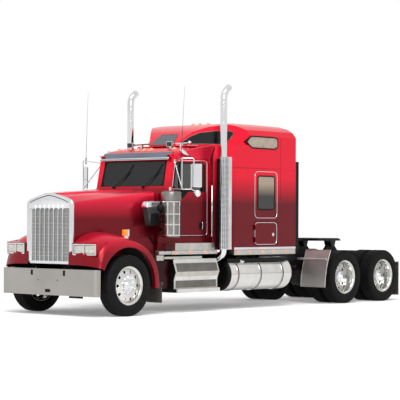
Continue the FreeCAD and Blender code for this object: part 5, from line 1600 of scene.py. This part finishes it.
@dataclass
class SideGear:
    """Air cleaners, stacks, tanks, steps, strips, fenders and flaps along both sides."""

    stack: Point = (1.175, 2.500)
    cleaner: Point = (1.130, 1.130)
    tank: Point = (0.868, 0.648)
    tank_radius: float = 0.306
    guard: Point = (0.1462, 0.1500)
    guard_shift: float = 0.010

    def build(self, nodes: dict) -> None:
        """Make the side gear.

        Args:
            nodes: the CAD nodes.
        """
        self.air_cleaners()
        self.exhausts()
        self.tanks(nodes)
        self.steps(nodes)
        self.strips(nodes)
        dressed(nodes["quarter_fenders"], SATIN, bevel=0.001, angle=30)
        dressed(nodes["mud_flaps"], DUSTY, bevel=0.003)
        dressed(nodes["grab_bars"], CHROME, angle=50)
        dressed(nodes["tail_lamps"], RED_LENS, bevel=0.008)
        lip = Form()
        curve = smooth_line([(5.760, 1.062), (5.680, 0.870), (5.625, 0.700), (5.590, 0.520), (5.580, 0.342)],
                            6)
        for a in (0.596, 1.196):
            lip.tube([(a, y - 0.002, z) for y, z in curve], 0.007, 8)
        for y, z in (curve[0], curve[-1]):
            lip.tube([(0.596, y - 0.002, z), (1.196, y - 0.002, z)], 0.007, 8)
        lip.both().piece("quarter_fender_lips", ALLOY)

    def air_cleaners(self) -> None:
        """Canisters with bands and straps, their feet and elbows, and the intake scoops."""
        x, y = self.cleaner
        can = [(1.342, 0.0), (1.342, 0.145), (1.350, 0.162), (1.362, 0.1665), (1.985, 0.1665), (1.990, 0.183),
               (2.118, 0.183), (2.142, 0.178), (2.156, 0.160), (2.164, 0.10), (2.165, 0.0)]
        form = Form().turned(can, (x, y, 0), Axis.Z, 64)
        made = form.both().piece("air_cleaner_cans", CANISTER)
        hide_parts("air_cleaners")
        bands = Form()
        for z in (1.372, 1.56, 1.745, 1.962):
            bands.turned([(z, 0.165), (z, 0.1715), (z + 0.020, 0.1715), (z + 0.020, 0.165)], (x, y, 0),
                         Axis.Z, 64)
        strap = Form().box((0.1655, -0.012, 1.375), (0.1725, 0.012, 1.97))
        strap.box((0.1655, -0.017, 1.90), (0.1775, 0.017, 1.955))
        for degrees in (-68, -32, 10, 150):
            spin = Matrix.Rotation(math.radians(degrees), 4, "Z")
            placed = strap.moved(Matrix.Translation((x, y, 0)) @ spin)
            bands.add(placed.points, placed.faces)
        bands.both().piece("air_cleaner_bands", ALLOY)
        feet = Form()
        for z in (1.45, 2.02):
            feet.box((0.881, y - 0.010, z), (x - 0.12, y + 0.030, z + 0.06))
        feet.tube(rounded_path([(0.935, 0.93, 1.865), (0.96, 1.0, 1.865), (x - 0.05, y - 0.06, 1.865)], 0.04),
                  0.082, 24)
        for z in (1.46, 1.60, 1.70):
            feet.box((0.955, 0.985, z), (1.03, 1.045, z + 0.028))
        feet.both().piece("air_cleaner_feet", BLACK, bevel=0.004)
        scoop = [(0.650, 1.90), (0.985, 1.90), (0.985, 1.63), (0.955, 1.575), (0.735, 1.545)]
        Form().slab(scoop, Axis.X, 0.872, 0.998).both().piece("intake_scoops", SMOKE, bevel=0.012)
        mouth = [(0.722, 1.545), (0.760, 1.745), (0.800, 1.770), (0.945, 1.770), (0.960, 1.640),
                 (0.940, 1.572), (0.735, 1.535)]
        Form().slab(mouth, Axis.X, 0.99, 1.012).both().piece("intake_mouths", BLACK, bevel=0.004)
        cap = [(0.640, 1.862), (0.652, 1.925), (0.690, 1.966), (0.740, 1.982), (0.992, 1.982), (0.992, 1.878),
               (0.66, 1.862)]
        Form().slab(cap, Axis.X, 0.866, 1.004).both().piece("intake_caps", CHROME, bevel=0.012)

    def exhausts(self) -> None:
        """Mufflers behind part punched, part smooth guards, straight pipes and raked tips."""
        x, y = self.stack
        bodies = Form().turned([(1.15, 0.064), (1.152, 0.110), (1.165, 0.1265), (2.765, 0.1265),
                                (2.778, 0.110), (2.782, 0.064)],
                               (x, y, 0), Axis.Z, 48)
        bodies.both().piece("muffler_bodies", BLACK)
        pipes = Form()
        top = rounded_path([(x, y, 2.78), (x, y, 3.97), (x, y + 0.150, 4.090)], 0.13, 10)
        pipes.tube(top, 0.0635, 40)
        foot = rounded_path([(0.432, y, 0.880), (0.82, y, 0.885), (1.06, y, 0.95), (x, y, 1.05),
                             (x, y, 1.16)], 0.12)
        pipes.tube(foot, 0.0635, 24)
        ahead = (top[-1] - top[-2]).normalized()
        tips = Form().tube([top[-1] - ahead * 0.01, top[-1] + ahead * 0.0008], 0.0585, 32)
        tips.both().piece("exhaust_mouths", BLACK)
        made = pipes.both().piece("exhaust_pipes", CHROME, angle=40)
        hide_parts("exhausts", "heat_shields")
        brackets = Form()
        for z in (1.30, 2.60):
            brackets.box((1.02, y - 0.010, z), (x - 0.10, y + 0.052, z + 0.05))
        brackets.both().piece("muffler_brackets", CHROME, bevel=0.003)
        plans = {}
        for name, first, last in (("punched", -78, -14), ("smooth", -14, 90), ("whole", -78, 90)):
            steps = [math.radians(first + (last - first) * i / 16) for i in range(17)]
            turns = [(self.guard[1], a) for a in steps] + [(self.guard[0], a) for a in reversed(steps)]
            plans[name] = [(x + self.guard_shift + r * math.cos(a), y + r * math.sin(a)) for r, a in turns]
        Form().slab(plans["punched"], Axis.Z, 1.13, 2.79).both().piece("muffler_guards", PUNCHED, angle=40)
        Form().slab(plans["smooth"], Axis.Z, 1.13, 2.79).both().piece("guard_strips", ALLOY, angle=40)
        rims = Form()
        for z in (1.120, 2.782):
            rims.slab(plans["whole"], Axis.Z, z, z + 0.018)
        rims.both().piece("guard_bands", CHROME, angle=40)

    def tanks(self, nodes: dict) -> None:
        """Polished tanks with straps, filler caps, dark front ends and step strips.

        Args:
            nodes: the CAD nodes.
        """
        x, z = self.tank
        r = self.tank_radius
        shell = [(2.692, 0.0), (2.692, r - 0.09), (2.698, r - 0.055), (2.712, r - 0.022), (2.730, r - 0.005),
                 (2.75, r - 0.002), (4.52, r - 0.002), (4.54, r - 0.005), (4.558, r - 0.022),
                 (4.572, r - 0.055), (4.578, r - 0.09), (4.578, 0.0)]
        made = Form().turned(shell, (x, 0, z), Axis.Y, 96).both().piece("tank_shells", ALLOY, angle=40)
        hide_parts("fuel_tanks")
        straps, edges = Form(), Form()
        for y in (2.95, 3.61, 4.27):
            straps.turned([(y - 0.020, r - 0.002), (y - 0.020, r + 0.004), (y + 0.020, r + 0.004),
                           (y + 0.020, r - 0.002)],
                          (x, 0, z), Axis.Y, 96)
            for end in (y - 0.026, y + 0.020):
                edges.turned([(end, r - 0.002), (end, r + 0.0055), (end + 0.006, r + 0.0055),
                              (end + 0.006, r - 0.002)],
                             (x, 0, z), Axis.Y, 96)
        straps.both().piece("tank_straps", STEEL)
        edges.both().piece("tank_strap_edges", CHROME)
        dome = [(2.690, 0.0), (2.690, r - 0.085), (2.697, r - 0.05), (2.711, r - 0.018), (2.732, r - 0.001),
                (2.745, r + 0.001)]
        Form().turned(dome, (x, 0, z), Axis.Y, 96).both().piece("tank_ends", BLACK, angle=40)
        seam = Form().tube([(x + r - 0.0005, y, z + 0.012) for y in (2.75, 4.52)], 0.0025, 6)
        seam.both().piece("tank_seams", STEEL)
        top = Form().slab([(0.93, 0.948), (1.075, 0.948), (1.088, 0.935), (1.088, 0.875), (1.080, 0.875),
                           (1.078, 0.930), (0.93, 0.938)], Axis.Y, 2.72, 4.54)
        top.both().piece("tank_steps", BLACK)
        profile = [(0.26, 0.052), (0.31, 0.052), (0.318, 0.060), (0.342, 0.060), (0.350, 0.052), (0.352, 0.0)]
        lean = Matrix.Rotation(math.radians(38), 4, "Y")
        cap = Form().turned(profile, (0, 0, 0), Axis.Z, 32).moved(Matrix.Translation((x, 3.15, z)) @ lean)
        cap.both().piece("tank_caps", CHROME)
        dressed(nodes["tank_brackets"], BLACK, bevel=0.003)

    def steps(self, nodes: dict) -> None:
        """Step box with bright treads, shaded kick plates and dark ends.

        Args:
            nodes: the CAD nodes.
        """
        dressed(nodes["cab_steps"], BRUSHED, bevel=0.006, angle=20)
        bright, shaded = Form(), Form()
        for outline in ([(1.0815, 0.955), (1.1035, 0.886), (1.1075, 0.886), (1.0855, 0.957), (0.98, 0.957),
                         (0.98, 0.953)],
                        [(1.1065, 0.578), (1.1065, 0.604), (1.122, 0.648), (1.126, 0.648), (1.110, 0.603),
                         (1.110, 0.578)],
                        [(1.112, 0.431), (1.171, 0.4265), (1.171, 0.362), (1.1745, 0.362), (1.1745, 0.4295),
                         (1.112, 0.435)]):
            bright.slab(outline, Axis.Y, 1.262, 2.41)
        bright.both().piece("step_treads", ALLOY, angle=30)
        shaded.slab([(1.1565, 0.734), (1.1065, 0.880), (1.1095, 0.881), (1.1595, 0.735)], Axis.Y, 1.29, 2.38)
        shaded.box((1.1062, 1.29, 0.445), (1.1088, 2.38, 0.572))
        shaded.both().piece("step_kick_plates", STEEL)
        # The lower cowl panels are the body red made dark, a painted shade where the fender shades them.
        sides = Form().slab([(0.90, 0.44), (1.02, 0.44), (1.02, 0.93), (0.90, 0.93)], Axis.Y, 0.84, 1.235)
        sides.both().piece("lower_cowl_panels", DARK_PAINT, bevel=0.006)
        ends = Form()
        for y0, y1 in ((1.2375, 1.2435), (2.4265, 2.4325)):
            ends.slab([(0.46, 0.36), (1.160, 0.372), (1.160, 0.415), (1.098, 0.43), (1.098, 0.60),
                       (1.146, 0.73), (1.072, 0.945), (0.46, 0.945)], Axis.Y, y0, y1)
        ends.both().piece("step_end_plates", BLACK)

    def strips(self, nodes: dict) -> None:
        """Lamp strips under the cab and the sleeper with their amber lamps.

        Args:
            nodes: the CAD nodes.
        """
        dressed(nodes["side_skirts"], BRUSHED, bevel=0.004)
        plates = Form().box((1.062, 0.79, 1.044), (1.160, 1.108, 1.101))
        plates.box((1.040, 0.80, 0.936), (1.095, 0.985, 1.030))
        plates.box((1.030, 1.01, 0.960), (1.086, 2.02, 1.004))
        plates.both().piece("cowl_strips", BRUSHED, bevel=0.004)
        lamps, rims = Form(), Form()
        places = [(1.165, y, 1.072) for y in (1.206, 1.605, 2.021)]
        places += [(1.196, y, 1.058) for y in (2.885, 3.242, 3.594, 3.942, 4.309)]
        for x, y, z in places:
            lamps.turned([(0.0, 0.027), (0.007, 0.026), (0.013, 0.018), (0.016, 0.0)], (x, y, z), Axis.X, 20)
            rims.turned([(0.0, 0.034), (0.003, 0.033), (0.003, 0.026)], (x, y, z), Axis.X, 20)
        lamps.both().piece("strip_lamps", AMBER, angle=60)
        rims.both().piece("strip_lamp_rims", CHROME)


# Chassis and inside


@dataclass
class Chassis:
    """Everything under the bodywork, and the inside of the cab and the sleeper."""

    black: tuple[str, ...] = ("frame_rails", "body_mounts", "front_axle", "front_suspension",
                              "rear_suspension", "radiator", "tie_rod",
                    "fifth_wheel_base")
    cast: tuple[str, ...] = ("engine", "driveline", "drive_axles", "knuckle_left", "knuckle_right")

    def build(self, nodes: dict) -> None:
        """Dress the plain nodes.

        Args:
            nodes: the CAD nodes.
        """
        for name in self.black:
            dressed(nodes[name], BLACK, bevel=0.003)
        for name in self.cast:
            dressed(nodes[name], CAST, bevel=0.004)
        dressed(nodes["fifth_wheel_plate"], GREASE, bevel=0.005)
        dressed(nodes["seats"], LEATHER, bevel=0.045)
        dressed(nodes["dashboard"], PLASTIC, bevel=0.012)
        carried(nodes["window_panes"], GLASS)


# Scene


@dataclass
class Studio:
    """Camera at the photograph's angle, pale floor and soft lamps."""

    eye: Point = (20.2017, -23.6221, 1.6779)
    yaw: float = math.radians(41.1595)
    pitch: float = math.radians(-0.6608)
    roll: float = math.radians(0.2815)
    lens: float = 144.95
    sun_from: Point = (0.35, -0.42, 0.84)
    sun_width: float = 0.5
    sun_strength: float = 2.0
    key_power: float = 700
    floor_half: float = 60
    floor_glow: float = 0.22
    world_light: float = 0.45

    def camera(self) -> None:
        """Place the camera."""
        data = bpy.data.cameras.new("camera")
        data.lens, data.sensor_width, data.clip_end = self.lens, 36.0, 400.0
        made = bpy.data.objects.new("camera", data)
        bpy.context.scene.collection.objects.link(made)
        back = Vector((math.sin(self.yaw) * math.cos(self.pitch), -math.cos(self.yaw) * math.cos(self.pitch),
                       math.sin(self.pitch)))
        right = Vector((math.cos(self.yaw), math.sin(self.yaw), 0))
        up = back.cross(right)
        c, s = math.cos(self.roll), math.sin(self.roll)
        across, upright = right * c + up * s, up * c - right * s
        turn = Matrix((across, upright, back)).transposed().to_4x4()
        made.matrix_world = Matrix.Translation(self.eye) @ turn
        bpy.context.scene.camera = made

    def lamp(self, name: str, place: Point, target: Point, size: Point, power: float) -> None:
        """An area lamp.

        Args:
            name: its name.
            place: where it stands.
            target: where it points.
            size: its width and height.
            power: its power in watts.
        """
        data = bpy.data.lights.new(name, "AREA")
        data.shape, data.size, data.size_y, data.energy = "RECTANGLE", size[0], size[1], power
        made = bpy.data.objects.new(name, data)
        made.location = place
        made.rotation_euler = (Vector(place) - Vector(target)).to_track_quat("Z", "Y").to_euler()
        bpy.context.scene.collection.objects.link(made)

    def sun(self) -> None:
        """A wide soft sun that lights the whole floor alike."""
        data = bpy.data.lights.new("sun", "SUN")
        data.angle, data.energy = self.sun_width, self.sun_strength
        made = bpy.data.objects.new("sun", data)
        made.rotation_euler = Vector(self.sun_from).to_track_quat("Z", "Y").to_euler()
        bpy.context.scene.collection.objects.link(made)

    def floor(self) -> None:
        """A wide pale floor that keeps the shadow."""
        half = self.floor_half
        made = Form().box((-half, -half, -0.02), (half, half, 0.0))
        mesh = bpy.data.meshes.new("floor")
        mesh.from_pydata([tuple(p) for p in made.points], [], made.faces)
        piece = bpy.data.objects.new("floor", mesh)
        graph = Graph("pale_floor")
        pale = graph.mix(graph.noise(0.8), (0.86, 0.86, 0.86, 1), (0.88, 0.88, 0.88, 1))
        graph.surface(Base_Color=pale, Roughness=0.95, Specular_IOR_Level=0.1, Emission_Color=(1, 1, 1, 1))
        path = graph.node("ShaderNodeLightPath").outputs
        mirrored = graph.math("MAXIMUM", path["Is Glossy Ray"], path["Is Transmission Ray"])
        seen = graph.math("MAXIMUM", path["Is Camera Ray"], mirrored)
        graph.surface(Emission_Strength=graph.math("MULTIPLY", seen, self.floor_glow))
        mesh.materials.append(graph.material)
        bpy.context.scene.collection.objects.link(piece)

    def world(self) -> None:
        """White to the camera, gloss and glass, and a soft light on the object."""
        world = bpy.data.worlds.new("studio")
        world.use_nodes = True
        tree = world.node_tree
        out = tree.nodes["World Output"]
        soft = tree.nodes["Background"]
        white = tree.nodes.new("ShaderNodeBackground")
        for background, strength in ((soft, self.world_light), (white, 1.0)):
            background.inputs["Color"].default_value = (1, 1, 1, 1)
            background.inputs["Strength"].default_value = strength
        path = tree.nodes.new("ShaderNodeLightPath")
        seen = path.outputs["Is Camera Ray"]
        for ray in ("Is Glossy Ray", "Is Transmission Ray"):
            either = tree.nodes.new("ShaderNodeMath")
            either.operation = "MAXIMUM"
            tree.links.new(seen, either.inputs[0])
            tree.links.new(path.outputs[ray], either.inputs[1])
            seen = either.outputs[0]
        pick = tree.nodes.new("ShaderNodeMixShader")
        tree.links.new(seen, pick.inputs[0])
        tree.links.new(soft.outputs[0], pick.inputs[1])
        tree.links.new(white.outputs[0], pick.inputs[2])
        tree.links.new(pick.outputs[0], out.inputs["Surface"])
        bpy.context.scene.world = world

    def build(self) -> None:
        """Make the whole studio."""
        bpy.context.scene.view_settings.view_transform = "Standard"
        self.camera()
        self.floor()
        self.world()
        self.sun()
        self.lamp("key", (10.0, -11.0, 8.0), (0, 0, 1.5), (9, 5), self.key_power)


def main() -> None:
    """Build the tractor's looks round the CAD frame."""
    logging.basicConfig(level=logging.INFO, format="%(message)s")
    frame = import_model()
    nodes = frame["nodes"]
    Grille().build()
    Nose().build()
    Bumper().build(nodes)
    Cab().build(nodes)
    Sleeper().build(nodes)
    SideGear().build(nodes)
    Chassis().build(nodes)
    for side in SIDES:
        word = side.value
        WheelSet("tyre_front_" + word, "rim_front_" + word, word + "_front_wheel", 0.0, side).build(1.087)
        for row, y in (("forward", 6.272), ("rearmost", 7.592)):
            body = "%s_%s_wheels" % (word, row)
            wheels = WheelSet("tyres_%s_%s" % (row, word), "rims_%s_%s" % (row, word), body, y, side)
            wheels.build(1.063, 0.340)
    Studio().build()


if __name__ == "__main__":
    main()
